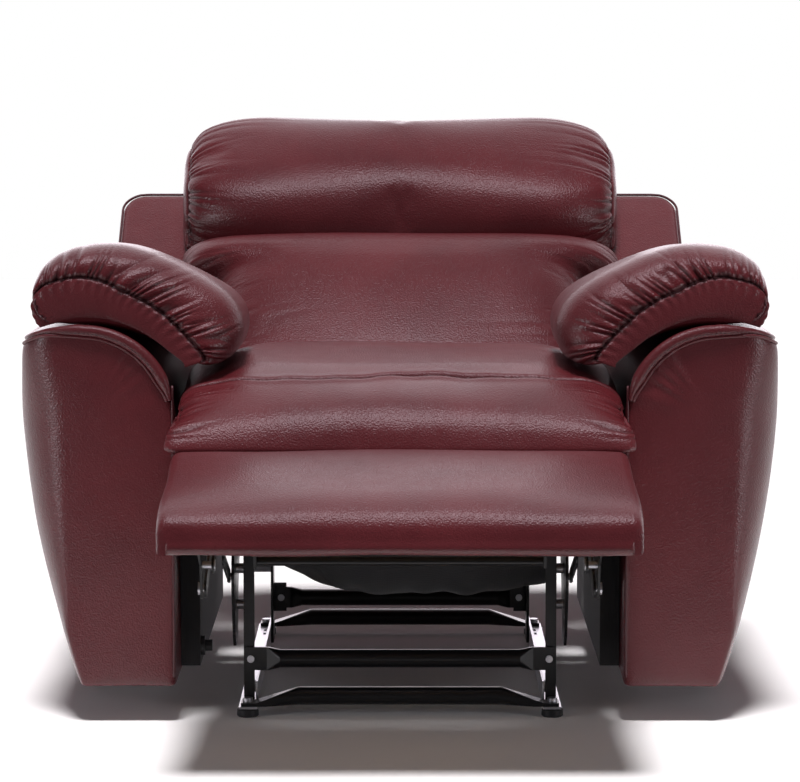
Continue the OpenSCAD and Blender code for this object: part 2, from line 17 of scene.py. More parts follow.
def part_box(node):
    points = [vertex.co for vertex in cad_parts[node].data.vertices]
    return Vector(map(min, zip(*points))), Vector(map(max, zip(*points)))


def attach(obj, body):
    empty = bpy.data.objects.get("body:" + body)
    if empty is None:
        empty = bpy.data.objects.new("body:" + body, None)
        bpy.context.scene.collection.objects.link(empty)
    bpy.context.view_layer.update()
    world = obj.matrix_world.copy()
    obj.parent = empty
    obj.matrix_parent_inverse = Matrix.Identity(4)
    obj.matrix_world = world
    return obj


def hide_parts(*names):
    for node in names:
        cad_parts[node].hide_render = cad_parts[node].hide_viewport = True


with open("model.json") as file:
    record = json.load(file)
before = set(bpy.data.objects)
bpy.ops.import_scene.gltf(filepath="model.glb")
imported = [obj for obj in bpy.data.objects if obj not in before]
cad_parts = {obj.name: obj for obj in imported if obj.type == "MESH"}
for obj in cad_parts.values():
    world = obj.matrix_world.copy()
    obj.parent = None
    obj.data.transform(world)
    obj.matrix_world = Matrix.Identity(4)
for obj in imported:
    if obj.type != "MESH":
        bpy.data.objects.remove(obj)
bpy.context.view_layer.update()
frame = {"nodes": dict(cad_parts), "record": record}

# ---- Places taken from the frame ----

arm_lo, arm_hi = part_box("arm_cover_right")
ARM_IN, FRONT, ARM_LOW = arm_lo
ARM_OUT, ARM_TOP = arm_hi.x, arm_hi.z
ARM_L = arm_hi.y - FRONT
SIDES = ((-1, "left"), (1, "right"))
SEAT_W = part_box("seat_cushion")[1].x
HEAD_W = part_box("headrest_cushion")[1].x
SHELL_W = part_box("back_shell")[1].x
FOOT_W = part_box("footrest_pad")[1].x
pins_lo, pins_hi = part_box("back_hinge_pins")
HINGE_Y, HINGE_Z = (pins_lo.y + pins_hi.y) / 2, (pins_lo.z + pins_hi.z) / 2
RECLINE = math.radians(54)
FOOT_SLOPE = math.radians(9.7)
FOOT_CORNER = (FRONT - 0.104, 0.388)


def smooth(t):
    t = np.clip(t, 0, 1)
    return t * t * (3 - 2 * t)


def ease_round(t):
    """0 to 1 along a quarter circle that leaves steeply and arrives flat."""
    return np.sqrt(np.clip(1 - (1 - np.clip(t, 0, 1)) ** 2, 0, 1))


def fall_round(t):
    """0 to 1 along a quarter circle that leaves flat and arrives steeply."""
    return 1 - ease_round(1 - t)


def on_back(x, u, v):
    """Points of the back: u up along it from the hinge, v towards the sitter."""
    s, c = math.sin(RECLINE), math.cos(RECLINE)
    x, u, v = np.broadcast_arrays(x, u, v)
    return np.stack([x, HINGE_Y + u * s - v * c, HINGE_Z + u * c + v * s], -1)


def on_foot(x, a, h):
    """Points of the footrest: a along it from its rear edge, negative forwards, h above its top."""
    s, c = math.sin(FOOT_SLOPE), math.cos(FOOT_SLOPE)
    x, a, h = np.broadcast_arrays(x, a, h)
    return np.stack([x, FOOT_CORNER[0] + a * c - h * s, FOOT_CORNER[1] + a * s + h * c], -1)


def on_chair(x, y, z):
    """Points of the chair, y counted from the front of the arms."""
    x, y, z = np.broadcast_arrays(x, y, z)
    return np.stack([x, FRONT + y, z], -1)


def spline(points, count, closed=False):
    """Points evenly spaced along a smooth curve through the given ones (millimetres in, metres out)."""
    p = np.asarray(points, float) / 1000
    n = len(p)
    t = np.linspace(0, 1, 12, endpoint=False)[:, None]
    out = []
    for i in range(n if closed else n - 1):
        near = [i + k for k in (-1, 0, 1, 2)]
        a, b, c, d = p[np.mod(near, n) if closed else np.clip(near, 0, n - 1)]
        square, cube = 2 * a - 5 * b + 4 * c - d, 3 * b - a - 3 * c + d
        out.append(0.5 * (2 * b + (c - a) * t + square * t**2 + cube * t**3))
    out.append(p[:1] if closed else p[-1:])
    return resample(np.concatenate(out), count, closed)


def distance_along(line):
    return np.r_[0, np.cumsum(np.linalg.norm(np.diff(line, axis=0), axis=1))]


def points_along(line, shares):
    """Points at shares of the length of a line."""
    step = distance_along(line)
    return np.stack([np.interp(shares * step[-1], step, column) for column in line.T], -1)


def resample(line, count, closed=False):
    return points_along(line, np.linspace(0, 1, count, endpoint=not closed))


def waves(co, size, seed, count=7):
    """A smooth uneven field of about -1 to 1 over points, its lumps about size across."""
    rng = np.random.default_rng(seed)
    total = np.zeros(len(co))
    for _ in range(count):
        k = rng.normal(size=co.shape[1])
        k *= rng.uniform(0.6, 1.6) / np.linalg.norm(k) * math.pi / size
        total += np.sin(co @ k + rng.uniform(0, 2 * math.pi))
    return total / math.sqrt(count)


# ---- Materials ----


def set_values(inputs, **values):
    for name, value in values.items():
        inputs[name.replace("_", " ")].default_value = value


class Tree:
    """Short ways to build the node tree of a material or a world."""

    def __init__(self, owner, place):
        owner.use_nodes = True
        self.nodes, self.links = owner.node_tree.nodes, owner.node_tree.links
        self.where = self.nodes.new("ShaderNodeTexCoord").outputs[place]

    def link(self, source, target):
        self.links.new(source, target)

    def add(self, kind, source=None, **values):
        """A node with values for its inputs, and a source for the first one."""
        node = self.nodes.new(f"ShaderNode{kind}")
        set_values(node.inputs, **values)
        if source is not None:
            self.link(source, node.inputs[0])
        return node

    def noise(self, scale, detail, where=None, **values):
        return self.add("TexNoise", where or self.where, Scale=scale, Detail=detail, **values).outputs["Fac"]

    def cells(self, feature, scale, randomness):
        node = self.add("TexVoronoi", self.where, Scale=scale, Randomness=randomness)
        node.feature = feature
        return node.outputs["Distance"]

    def field(self, name):
        node = self.add("Attribute")
        node.attribute_name = name
        return node.outputs["Fac"]

    def span(self, source, low, high, start=0.0, end=1.0, kind="LINEAR"):
        """low to high as the source goes from start to end."""
        node = self.add("MapRange", source, From_Min=start, From_Max=end, To_Min=low, To_Max=high)
        node.interpolation_type = kind
        return node.outputs[0]

    def mix(self, share, a, b):
        """Between two numbers, or two colours, each one a value or another node's output."""
        node = self.add("Mix", share)
        first, result = 2, 0
        if any(isinstance(v, tuple) for v in (a, b)):
            node.data_type = "RGBA"
            first, result = 6, 2
        for socket, value in zip(node.inputs[first:first + 2], (a, b)):
            if isinstance(value, bpy.types.NodeSocket):
                self.link(value, socket)
            else:
                socket.default_value = (*value, 1) if isinstance(value, tuple) else value
        return node.outputs[result]

    def bump(self, height, strength, distance, under=None):
        node = self.add("Bump", Strength=strength, Distance=distance)
        self.link(height, node.inputs["Height"])
        if under is not None:
            self.link(under, node.inputs["Normal"])
        return node.outputs["Normal"]


def new_material(name):
    """A material, its tree and the inputs of its shader."""
    material = bpy.data.materials.new(name)
    tree = Tree(material, "Object")
    return material, tree, tree.nodes["Principled BSDF"].inputs


def leather(name, light, deep, grain):
    """Dyed hide, mottled, with three sizes of grain under a thin polish."""
    material, tree, shader = new_material(name)
    crease, taut = tree.field("crease"), tree.field("taut")
    rough_low, rough_high, coat = 0.40, 0.54, 0.60
    # painted shade darkens the colour of creases and makes them dull with less polish, hide pulled into
    # gathers is stretched smooth and shines
    dye = tree.mix(tree.span(tree.noise(5.0, 6.0, Roughness=0.6), 0.0, 1.0, 0.3, 0.72), deep, light)
    tree.link(tree.mix(crease, dye, tuple(0.22 * c for c in deep)), shader["Base Color"])
    ripple = tree.noise(38.0, 4.0, Roughness=0.55)
    rough = tree.mix(taut, tree.span(ripple, rough_low, rough_high), 0.48 * rough_low)
    tree.link(tree.mix(crease, rough, 0.95), shader["Roughness"])
    tree.link(tree.span(crease, coat, 0.05), shader["Coat Weight"])
    low = tree.bump(ripple, 0.12 * grain, 0.0014)
    mid = tree.bump(tree.cells("DISTANCE_TO_EDGE", 210.0, 1.0), 0.14 * grain, 0.0007, low)
    top = tree.bump(tree.cells("SMOOTH_F1", 460.0, 0.9), 0.7 * grain, 0.0005, mid)
    tree.link(top, shader["Normal"])
    tree.link(top, shader["Coat Normal"])
    set_values(shader, Specular_IOR_Level=0.24, Coat_Roughness=0.24)
    return material


def metal(name, light, deep, metallic, rough, scratch):
    material, tree, shader = new_material(name)
    cloud = tree.noise(24.0, 6.0, Roughness=0.6)
    tree.link(tree.mix(cloud, deep, light), shader["Base Color"])
    tree.link(tree.span(cloud, *rough), shader["Roughness"])
    tree.link(tree.bump(tree.noise(420.0, 2.0), 0.12 * scratch, 0.0003), shader["Normal"])
    set_values(shader, Metallic=metallic, Specular_IOR_Level=0.35)
    return material


def plywood(name):
    material, tree, shader = new_material(name)
    stretched = tree.add("Mapping", tree.where, Scale=(1.5, 14, 30)).outputs["Vector"]
    streak = tree.noise(6.0, 8.0, stretched, Distortion=0.6)
    tree.link(tree.mix(streak, (0.30, 0.18, 0.09), (0.55, 0.38, 0.22)), shader["Base Color"])
    tree.link(tree.bump(streak, 0.3, 0.0008), shader["Normal"])
    set_values(shader, Roughness=0.7)
    return material


def woven(name, light, deep, pitch):
    material, tree, shader = new_material(name)
    cross = tree.add("Math")
    cross.operation = "MULTIPLY"
    for socket, direction in zip(cross.inputs, "XY"):
        yarn = tree.add("TexWave", tree.where, Scale=1 / pitch / 6.28, Distortion=0.6)
        yarn.bands_direction = direction
        tree.link(yarn.outputs["Fac"], socket)
    tree.link(tree.mix(tree.noise(20.0, 4.0), deep, light), shader["Base Color"])
    tree.link(tree.bump(cross.outputs[0], 0.5, 0.0005), shader["Normal"])
    set_values(shader, Roughness=0.85, Sheen_Weight=0.15)
    return material


HIDE = leather("oxblood_leather", (0.104, 0.014, 0.018), (0.066, 0.0075, 0.0105), 1.5)
HIDE_DARK = leather("oxblood_leather_welt", (0.075, 0.014, 0.018), (0.030, 0.006, 0.008), 0.7)
THREAD = woven("oxblood_thread", (0.060, 0.010, 0.013), (0.030, 0.005, 0.007), 0.0006)
CLOTH = woven("black_cloth", (0.020, 0.020, 0.022), (0.008, 0.008, 0.009), 0.0012)
STEEL = metal("black_steel", (0.006, 0.006, 0.007), (0.002, 0.002, 0.0025), 0.0, (0.24, 0.38), 0.5)
FINISH = {
    "oxblood_leather": HIDE,
    "black_steel": STEEL,
    "zinc_steel": metal("zinc_steel", (0.60, 0.60, 0.63), (0.34, 0.34, 0.37), 0.9, (0.25, 0.42), 2.0),
    "spring_steel": metal("spring_steel", (0.20, 0.20, 0.21), (0.09, 0.09, 0.10), 0.85, (0.3, 0.5), 1.5),
    "plywood": plywood("plywood"),
    "black_cloth": CLOTH,
    "black_plastic": metal("black_plastic", (0.02, 0.02, 0.022), (0.01, 0.01, 0.011), 0.0, (0.38, 0.5), 4.0),
}

# ---- Mesh making ----

soft_jobs = []


def mesh_object(name, verts, faces, material, fields=None, merge=True):
    mesh = bpy.data.meshes.new(name)
    mesh.from_pydata(np.asarray(verts, float).tolist(), [], [list(map(int, f)) for f in faces])
    for key, values in (fields or {}).items():
        mesh.attributes.new(key, "FLOAT", "POINT").data.foreach_set("value", np.asarray(values, np.float32))
    if merge:
        bm = bmesh.new()
        bm.from_mesh(mesh)
        bmesh.ops.remove_doubles(bm, verts=bm.verts, dist=2e-5)
        bmesh.ops.dissolve_degenerate(bm, dist=1e-6, edges=bm.edges)
        bmesh.ops.recalc_face_normals(bm, faces=bm.faces)
        bm.to_mesh(mesh)
        bm.free()
    mesh.materials.append(material)
    mesh.shade_smooth()
    obj = bpy.data.objects.new(name, mesh)
    bpy.context.scene.collection.objects.link(obj)
    return obj


def capped(rings, targets, levels, domes=(0.0, 0.0), curve=0.6):
    """Adds rings at both ends that close on the targets, pushed outwards by the dome heights."""
    rings = np.asarray(rings, float)
    t = (np.arange(levels) + 1)[:, None, None] / levels
    caps = []
    for edge, inner, target, dome in zip(rings[[0, -1]], rings[[1, -2]], targets, domes):
        out = (edge - inner).mean(0)
        out /= np.linalg.norm(out) or 1
        caps.append(edge * (1 - t) + target * t + out * dome * (1 - (1 - t) ** 2) ** curve)
    return np.concatenate([caps[0][::-1], rings, caps[1]])


def grid_faces(n, m):
    i, j = np.meshgrid(np.arange(n - 1), np.arange(m), indexing="ij")
    a, b = i * m + j, i * m + (j + 1) % m
    return np.stack([a, b, b + m, a + m], -1).reshape(-1, 4)


def grid_object(name, grid, material, fields=None):
    n, m, _ = grid.shape
    flat = {k: np.broadcast_to(v, (n, m)).ravel() for k, v in (fields or {}).items()}
    return mesh_object(name, grid.reshape(-1, 3), grid_faces(n, m), material, flat)


def along_rings(grid):
    """Distance of each point from ring 0, measured along the columns."""
    step = np.linalg.norm(np.diff(grid, axis=0), axis=2)
    return np.concatenate([np.zeros((1, grid.shape[1])), np.cumsum(step, axis=0)])


def seam_distances(grid, first):
    """How far each point is from the seams, rings first from both ends, and its place along a ring."""
    rows = along_rings(grid)
    d = np.minimum(rows - rows[first], rows[-1 - first] - rows)
    return d, np.broadcast_to(distance_along(grid[first]), d.shape)


def middles(rings):
    return [np.broadcast_to(ring.mean(0), ring.shape) for ring in rings]


def read(owner, count, key, width=1):
    values = np.zeros(count * width, np.float32)
    owner.foreach_get(key, values)
    return values.astype(float).reshape((count, width) if width > 1 else count)


def coords(mesh):
    return read(mesh.vertices, len(mesh.vertices), "co", 3)


def set_coords(mesh, co):
    mesh.vertices.foreach_set("co", np.asarray(co, np.float32).ravel())
    mesh.update()


def normals(mesh):
    return read(mesh.vertex_normals, len(mesh.vertices), "vector", 3)


def field(mesh, name):
    return read(mesh.attributes[name].data, len(mesh.vertices), "value")


def folded(obj):
    """Where the points of a piece are, their place along its seam and their distance from it."""
    return coords(obj.data), field(obj.data, "fold_s"), field(obj.data, "fold_d")


def applied(obj):
    """Replaces the mesh by the one its modifiers make."""
    dg = bpy.context.evaluated_depsgraph_get()
    made = obj.evaluated_get(dg)
    mesh = bpy.data.meshes.new_from_object(made, preserve_all_data_layers=True, depsgraph=dg)
    obj.modifiers.clear()
    obj.data = mesh
    return obj


def refined(obj, levels=2):
    mod = obj.modifiers.new("fine", "SUBSURF")
    mod.levels = mod.render_levels = levels
    applied(obj)
    obj.data.shade_smooth()
    return obj


def pillow(name, grid, d, s, hold, fixed, pressure, cap, **fields):
    """A piece for the shared cloth simulation, held where hold is 1 and over the fixed rings at its ends.
    No point moves further than the cap."""
    first, last = fixed
    hold[:first] = 1
    hold[len(hold) - last:] = 1
    obj = grid_object(name, grid, HIDE, {"fold_s": s, "fold_d": d, "hold": hold, **fields})
    soft_jobs.append((obj, pressure, cap))
    return obj


def simulate(frames=12):
    """Puffs every queued piece at once, with no gravity."""
    scene = bpy.context.scene
    for obj, pressure, _ in soft_jobs:
        group = obj.vertex_groups.new(name="hold")
        for i, weight in enumerate(field(obj.data, "hold")):
            group.add([i], float(min(max(weight, 0), 1)), "REPLACE")
        mod = obj.modifiers.new("cloth", "CLOTH")
        cloth = mod.settings
        cloth.quality = 5
        cloth.mass = 0.35
        cloth.tension_stiffness = cloth.compression_stiffness = 22
        cloth.shear_stiffness = 12
        cloth.bending_stiffness = 4
        cloth.use_pressure = True
        cloth.uniform_pressure_force = pressure
        cloth.vertex_group_mass = "hold"
        cloth.effector_weights.gravity = 0
        mod.collision_settings.use_collision = False
        mod.point_cache.frame_start, mod.point_cache.frame_end = 1, frames
    for f in range(1, frames + 1):
        scene.frame_set(f)
    dg = bpy.context.evaluated_depsgraph_get()
    results = []
    for obj, _, cap in soft_jobs:
        rest = coords(obj.data)
        move = coords(obj.evaluated_get(dg).data) - rest
        far = np.linalg.norm(move, axis=1, keepdims=True)
        results.append(rest + move * np.minimum(1, cap / np.maximum(far, 1e-9)))
    for (obj, _, _), co in zip(soft_jobs, results):
        obj.modifiers.clear()
        obj.vertex_groups.clear()
        set_coords(obj.data, co)
    scene.frame_set(1)


def folds(s, d, seed, pitch, length):
    """Gathers at a seam: uneven ridges across s that fade with the distance d from it.
    Returns their height, the shade painted into their valleys and along the seam, and how taut the surface is."""
    rng = np.random.default_rng(seed)
    p = rng.uniform(0, 2 * math.pi, 8)
    k = s / pitch
    lean = 0.55 * np.maximum(d, 0) / length * np.sin(0.47 * k + p[0])
    bend = 0.45 * np.sin(1.13 * k + p[1]) + 0.30 * np.sin(2.31 * k + p[2]) + lean
    ridge = np.abs(np.sin(math.pi * (k + bend))) ** 0.7
    uneven = 0.78 + 0.34 * np.sin(0.83 * k + p[3]) + 0.30 * np.sin(1.93 * k + p[4])
    reach = length * np.clip(uneven, 0.3, 1.6)
    fade = np.exp(-((np.maximum(d, 0) / reach) ** 1.7)) * (d >= 0)
    size = 0.72 + 0.28 * np.sin(0.61 * k + p[5]) * np.sin(1.37 * k + p[6])
    near = 0.65 + 0.35 * smooth(d / 0.004)
    dip = np.exp(-((np.maximum(d, 0) / 0.0035) ** 2)) * (d >= 0)
    # painted shade in the fold valleys and along the dip at the seam
    crease = np.clip((1 - ridge) ** 1.3 * fade * size * 1.2 + 0.6 * dip, 0, 1)
    return (ridge - 0.6) * fade * near * size - 0.35 * dip, crease, fade


def push(obj, height, crease=0.0, taut=0.0):
    """Moves a surface along its normals, and marks where shade is painted and where it is pulled taut."""
    mesh = obj.data
    set_coords(mesh, coords(mesh) + normals(mesh) * height[:, None])
    for name, values in (("crease", crease), ("taut", taut)):
        marks = np.clip(values * np.ones(len(height)), 0, 1).astype(np.float32)
        mesh.attributes.new(name, "FLOAT", "POINT").data.foreach_set("value", marks)


def tube(name, path, radius, material, sides):
    """A cord or welt along a path of points."""
    tangent = np.gradient(path, axis=0)
    tangent /= np.maximum(np.linalg.norm(tangent, axis=1, keepdims=True), 1e-12)
    side = np.cross(tangent[0], [0.31, 0.72, 0.62])
    a = np.linspace(0, 2 * math.pi, sides, endpoint=False)[:, None]
    rings = []
    for point, ahead, r in zip(path, tangent, np.broadcast_to(radius, len(path))):
        side = side - ahead * (side @ ahead)
        side /= np.linalg.norm(side)
        rings.append(point + r * (np.cos(a) * side + np.sin(a) * np.cross(ahead, side)))
    ends = [np.broadcast_to(point, (sides, 3)) for point in (path[0], path[-1])]
    return grid_object(name, capped(rings, ends, 1), material)


def joined(name, objs):
    """One piece from several meshes that share a material."""
    bm = bmesh.new()
    for o in objs:
        bm.from_mesh(o.data)
    mesh = objs[0].data.copy()
    bm.to_mesh(mesh)
    bm.free()
    for o in objs:
        bpy.data.objects.remove(o)
    mesh.shade_smooth()
    obj = bpy.data.objects.new(name, mesh)
    bpy.context.scene.collection.objects.link(obj)
    return obj


def surface(obj):
    bm = bmesh.new()
    bm.from_mesh(obj.data)
    tree = BVHTree.FromBMesh(bm)
    bm.free()
    return tree


def laid_on(tree, path, lift, direction=None):
    """Moves each point of a path to the place a direction meets on a surface, or to the nearest one, and
    lifts it along the normal there."""
    out = []
    for p in path:
        at = None
        if direction:
            at, normal, _, _ = tree.ray_cast(Vector(p - 0.2 * np.array(direction)), Vector(direction))
        if at is None:
            at, normal, _, _ = tree.find_nearest(Vector(p))
        out.append(np.array(at) + np.array(normal) * lift)
    return np.array(out)


def stitches(name, path, tree, length, gap, radius, lift=0.0002):
    """A row of short thread stitches sunk into a surface."""
    line = resample(path, max(4, int(distance_along(path)[-1] / (length + gap))))
    share = length / (length + gap)
    parts = []
    for a, b in zip(line[:-1], line[1:]):
        thread = laid_on(tree, [a + (b - a) * share * t for t in (0, 0.5, 1)], lift)
        thread[1] += thread[1] - (thread[0] + thread[2]) / 2
        parts.append(tube("stitch", thread, radius, THREAD, 5))
    return joined(name, parts)


def trim(obj, body):
    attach(obj, body)
    return obj


def soft_piece(obj, body, node=None):
    trim(obj, body)
    if node:
        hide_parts(node)


# ---- Headrest ----

HEAD_SEAM = HEAD_W - 0.016
HEAD_LOOP = [  # (u, v) round the headrest, starting low at the back
    (400, 42), (372, 62), (366, 92), (376, 128), (404, 154), (446, 165), (500, 168), (556, 169), (596, 160),
    (624, 136), (636, 104), (635, 62), (624, 18), (604, -10), (578, -20), (554, -14), (552, 20), (548, 42),
    (470, 42),
]


def make_headrest():
    loop = spline(HEAD_LOOP, 96, closed=True)
    on_shell = np.abs(loop[:, 1] - 0.042) < 0.004
    over_shell = (loop[:, 0] > 0.54) & (loop[:, 0] < 0.556) & (loop[:, 1] < 0.045)
    rings = []
    for x in np.r_[-HEAD_SEAM - 0.004, np.linspace(-HEAD_SEAM, HEAD_SEAM, 69), HEAD_SEAM + 0.004]:
        u, v = loop.T.copy()
        e = np.clip((abs(x) - 0.20) / (HEAD_SEAM - 0.20), 0, 1.0)
        fall = 1 - math.sqrt(max(0.0, 1 - e**2.2 * 0.98))
        u -= 0.050 * fall * smooth((u - 0.47) / 0.13)
        v -= 0.030 * fall * smooth((v - 0.08) / 0.07)
        v += 0.016 * fall * smooth((0.03 - v) / 0.04)
        u += 0.042 * fall * smooth((0.47 - u) / 0.09) * smooth((v - 0.05) / 0.03)
        # the seam draws the ends in
        pull = 0.007 * math.exp(-((HEAD_SEAM - abs(x)) / 0.010) ** 2) if abs(x) <= HEAD_SEAM else 0.010
        mid_u, mid_v = u.mean(), v.mean()
        far = np.hypot(u - mid_u, v - mid_v)
        rings.append(on_back(x, u - (u - mid_u) / far * pull, v - (v - mid_v) / far * pull))
    grid = capped(rings, middles((rings[0], rings[-1])), 6, (0.006, 0.006), 0.5)
    d, s = seam_distances(grid, 7)
    hold = np.maximum(np.exp(-((d / 0.006) ** 2)), (on_shell | over_shell) * 1.0)
    return pillow("headrest_pillow", grid, d, s, hold, (7, 7), 5.0, 0.012)


# ---- Lumbar cushion ----

LUMBAR_LOW, LUMBAR_TOP = 0.014, 0.373
LUMBAR_REAR = 0.0415
LUMBAR_DEPTHS = [  # (u, how far the middle stands from the shell)
    (14, 24), (24, 44), (38, 60), (52, 66), (70, 69), (100, 75), (140, 85), (180, 94), (220, 102),
    (262, 108), (300, 107), (325, 98), (345, 82), (360, 62), (369, 44), (373, 30),
]


def lumbar_half_width(u):
    low, high = 0.288, HEAD_W - 0.006
    return low + (high - low) * smooth((u - 0.262) / 0.034) - 0.050 * fall_round((u - 0.343) / 0.031)


def make_lumbar():
    count = 56
    depth_u, depth_v = np.array(LUMBAR_DEPTHS).T / 1000
    rings = []
    for u in np.r_[np.linspace(LUMBAR_LOW, 0.29, 30), np.linspace(0.297, LUMBAR_TOP, 14)]:
        wide, deep = lumbar_half_width(u), np.interp(u, depth_u, depth_v)
        x = np.sin(np.linspace(-1, 1, count) * math.pi / 2) * wide
        a = np.abs(x) / wide
        edge = (1 - a ** (7 + 3 * smooth((u - 0.28) / 0.05))) ** 0.5
        front = LUMBAR_REAR + 0.004 + (deep - 0.004) * edge * (1 - 0.06 * a**2)
        back_x = x[::-1][1:-1] * 0.995
        # over the arms the underside follows their tops
        over_arm = max(0.0, (0.2175 - 0.588 * u) / 0.809 - LUMBAR_REAR)
        rear = LUMBAR_REAR + over_arm * smooth((np.abs(back_x) - 0.296) / 0.006)
        least = LUMBAR_REAR + (over_arm + 0.004) * smooth((np.abs(x) - 0.296) / 0.006)
        rings.append(np.concatenate([on_back(x, u, np.maximum(front, least)), on_back(back_x, u, rear)]))
    ends = ((rings[0], LUMBAR_LOW), (rings[-1], LUMBAR_TOP))
    grid = capped(rings, [on_back(ring[:, 0] * 0.9, u, 0.055) for ring, u in ends], 3, (0.0, 0.004))
    # the seams run along columns of the grid
    across = along_rings(grid.swapaxes(0, 1)).T
    left, right = 3, count - 4
    d = np.minimum(across - across[:, [left]], across[:, [right]] - across)
    s = np.broadcast_to(along_rings(grid)[:, [left]], d.shape)
    hold = np.maximum(np.exp(-((d / 0.008) ** 2)), np.arange(grid.shape[1]) >= count)
    return pillow("lumbar_pillow", grid, d, s, hold, (4, 3), 5.0, 0.010)


def make_lumbar_roll():
    """Lower end of the lumbar cushion: part of a roll round the hinge, closes the gap over the seat."""
    half = 0.221
    a = np.radians(np.linspace(2, 148, 40))
    arc = np.stack([np.cos(a), np.sin(a)], -1)
    loop = np.concatenate([0.1085 * arc, 0.035 * arc[::-1]])
    u, v = loop.T
    loop[:, 0] = np.where(v < 0.042, np.minimum(u, 0.053), u)
    rings = []
    for x in np.linspace(-half, half, 41):
        e = np.clip((abs(x) - half + 0.02) / 0.02, 0, 1)
        k = 1 - 0.10 * (1 - math.sqrt(1 - e * e * 0.99))
        rings.append(on_back(x, *(loop.T * k)))
    targets = []
    for ring in (rings[0], rings[-1]):
        middle = (ring[:len(a)] + ring[len(a):][::-1]) / 2
        targets.append(np.concatenate([middle, middle[::-1]]))
    return grid_object("lumbar_roll", capped(rings, targets, 4, (0.001, 0.001)), HIDE)


# ---- Back shell ----

SHELL_LOW, SHELL_TOP = 0.060, 0.550
SHELL_REAR, SHELL_FACE = -0.060, 0.040
WING_R = 0.042


def shell_half_width(u):
    """Narrow between the arms, with rounded wings over them."""
    low = np.where(u < 0.205, 0.262, 0.262 + 0.028 * smooth((u - 0.205) / 0.012))
    wing = SHELL_W - WING_R * (fall_round((0.373 - u) / WING_R) + fall_round((u - 0.508) / WING_R))
    share = smooth((u - 0.326) / 0.010)
    return low * (1 - share) + wing * share


def shell_loop(w, v0, v1, crown):
    """A rounded rectangle in (x, v), with a crowned front and rear."""
    r = 0.013
    turn = np.linspace(0, math.pi / 2, 5)
    corner = r * np.stack([np.sin(turn), np.cos(turn)], -1)
    x = np.linspace(-w + r, w - r, 30)
    rise = crown * (1 - (x / w) ** 2)
    side = np.stack([np.full(3, w), np.linspace(v1 - r, v0 + r, 5)[1:-1]], -1)
    low_corner = corner[::-1][:-1] * [1, -1]
    right = np.concatenate([[w - r, v1 - r] + corner[1:], side, [w - r, v0 + r] + low_corner])
    front, rear = np.stack([x, v1 + rise], -1), np.stack([x, v0 - rise], -1)
    return np.concatenate([front, right, rear[::-1], right[::-1] * [-1, 1]])


def make_shell():
    us = np.r_[0.060, 0.063, 0.070, np.linspace(0.085, 0.325, 18), 0.330, 0.334, 0.340, 0.350, 0.362, 0.376,
               np.linspace(0.395, 0.508, 9), 0.520, 0.530, 0.538, 0.544, 0.548]
    rings = []
    for u in us:
        near = min(u - SHELL_LOW, SHELL_TOP - u)
        tuck = 0.012 * fall_round(1 - near / 0.012)
        half = shell_half_width(u) - tuck * 0.5
        loop = shell_loop(half, SHELL_REAR + tuck, SHELL_FACE - tuck, 0.004 * min(1.0, near / 0.05))
        rings.append(on_back(loop[:, 0], u, loop[:, 1]))
    ends = ((rings[0], SHELL_LOW), (rings[-1], SHELL_TOP))
    grid = capped(rings, [on_back(ring[:, 0] * 0.92, u, -0.01) for ring, u in ends], 3, (0.0, 0.001))
    return grid_object("back_cover", grid, HIDE)


# ---- Seat ----

SEAT_LOOP = [  # (y, z) round the seat cushion, starting low at the rear
    (384, 344), (300, 342), (150, 342), (62, 343), (36, 366), (4, 379), (-40, 381), (-80, 382), (-96, 383),
    (-104, 382), (-107, 386), (-104, 393), (-93, 408), (-74, 427), (-50, 445), (-25, 460), (-5, 468),
    (10, 471), (26, 474), (70, 480), (140, 485), (220, 489), (290, 490), (340, 482), (372, 460), (387, 425),
    (388, 380),
]
SEAT_SEAM_Y = 0.010
SEAT_END = SEAT_W - 0.0005


def seam_wander(x):
    """How far the cross seam strays from a straight line."""
    middle = 0.010 * np.exp(-(((x - 0.03) / 0.06) ** 2))
    return 0.006 * np.sin(x * 11 + 0.8) * np.exp(-((x / 0.22) ** 4)) + middle


def make_seat():
    loop = spline(SEAT_LOOP, 132, closed=True)
    end = 0.235 + (SEAT_END - 0.235) * np.sin(np.linspace(0.09, 1, 12) * math.pi / 2)
    rings = []
    for x in np.r_[-end[::-1], np.linspace(-0.232, 0.232, 45), end]:
        y, z = loop.T.copy()
        # the crown falls away towards the arms, and the ends are rounded
        z -= 0.024 * (abs(x) / SEAT_W) ** 11 * smooth((z - 0.400) / 0.055)
        tuck = 0.010 * fall_round((abs(x) - SEAT_END + 0.016) / 0.016)
        dy, dz = y - 0.15, z - 0.41
        far = np.hypot(dy / 3.2, dz)
        y -= dy / far / 3.2 * tuck
        z -= dz / far * tuck
        flare = 1 + 0.055 * smooth((-0.045 - y) / 0.055)
        rings.append(on_chair(x * flare, y, z))
    targets = []
    for ring in (rings[0], rings[-1]):
        targets.append(on_chair(ring[:, 0].mean(), np.clip(ring[:, 1] - FRONT, -0.045, 0.340), 0.425))
    grid = capped(rings, targets, 4, (0.002, 0.002))
    y, z = grid[:, :, 1] - FRONT, grid[:, :, 2]
    seam = np.where(z > 0.43, np.abs(y - SEAT_SEAM_Y), 1.0)
    d, s = seam_distances(grid, 4)
    low = (z < 0.345) | (y > 0.383)
    hold = np.maximum.reduce([np.exp(-((seam / 0.009) ** 2)), np.exp(-((d / 0.008) ** 2)), low * 1.0])
    return pillow("seat_pillow", grid, d, s, hold, (5, 5), 5.0, 0.007)


# ---- Footrest ----

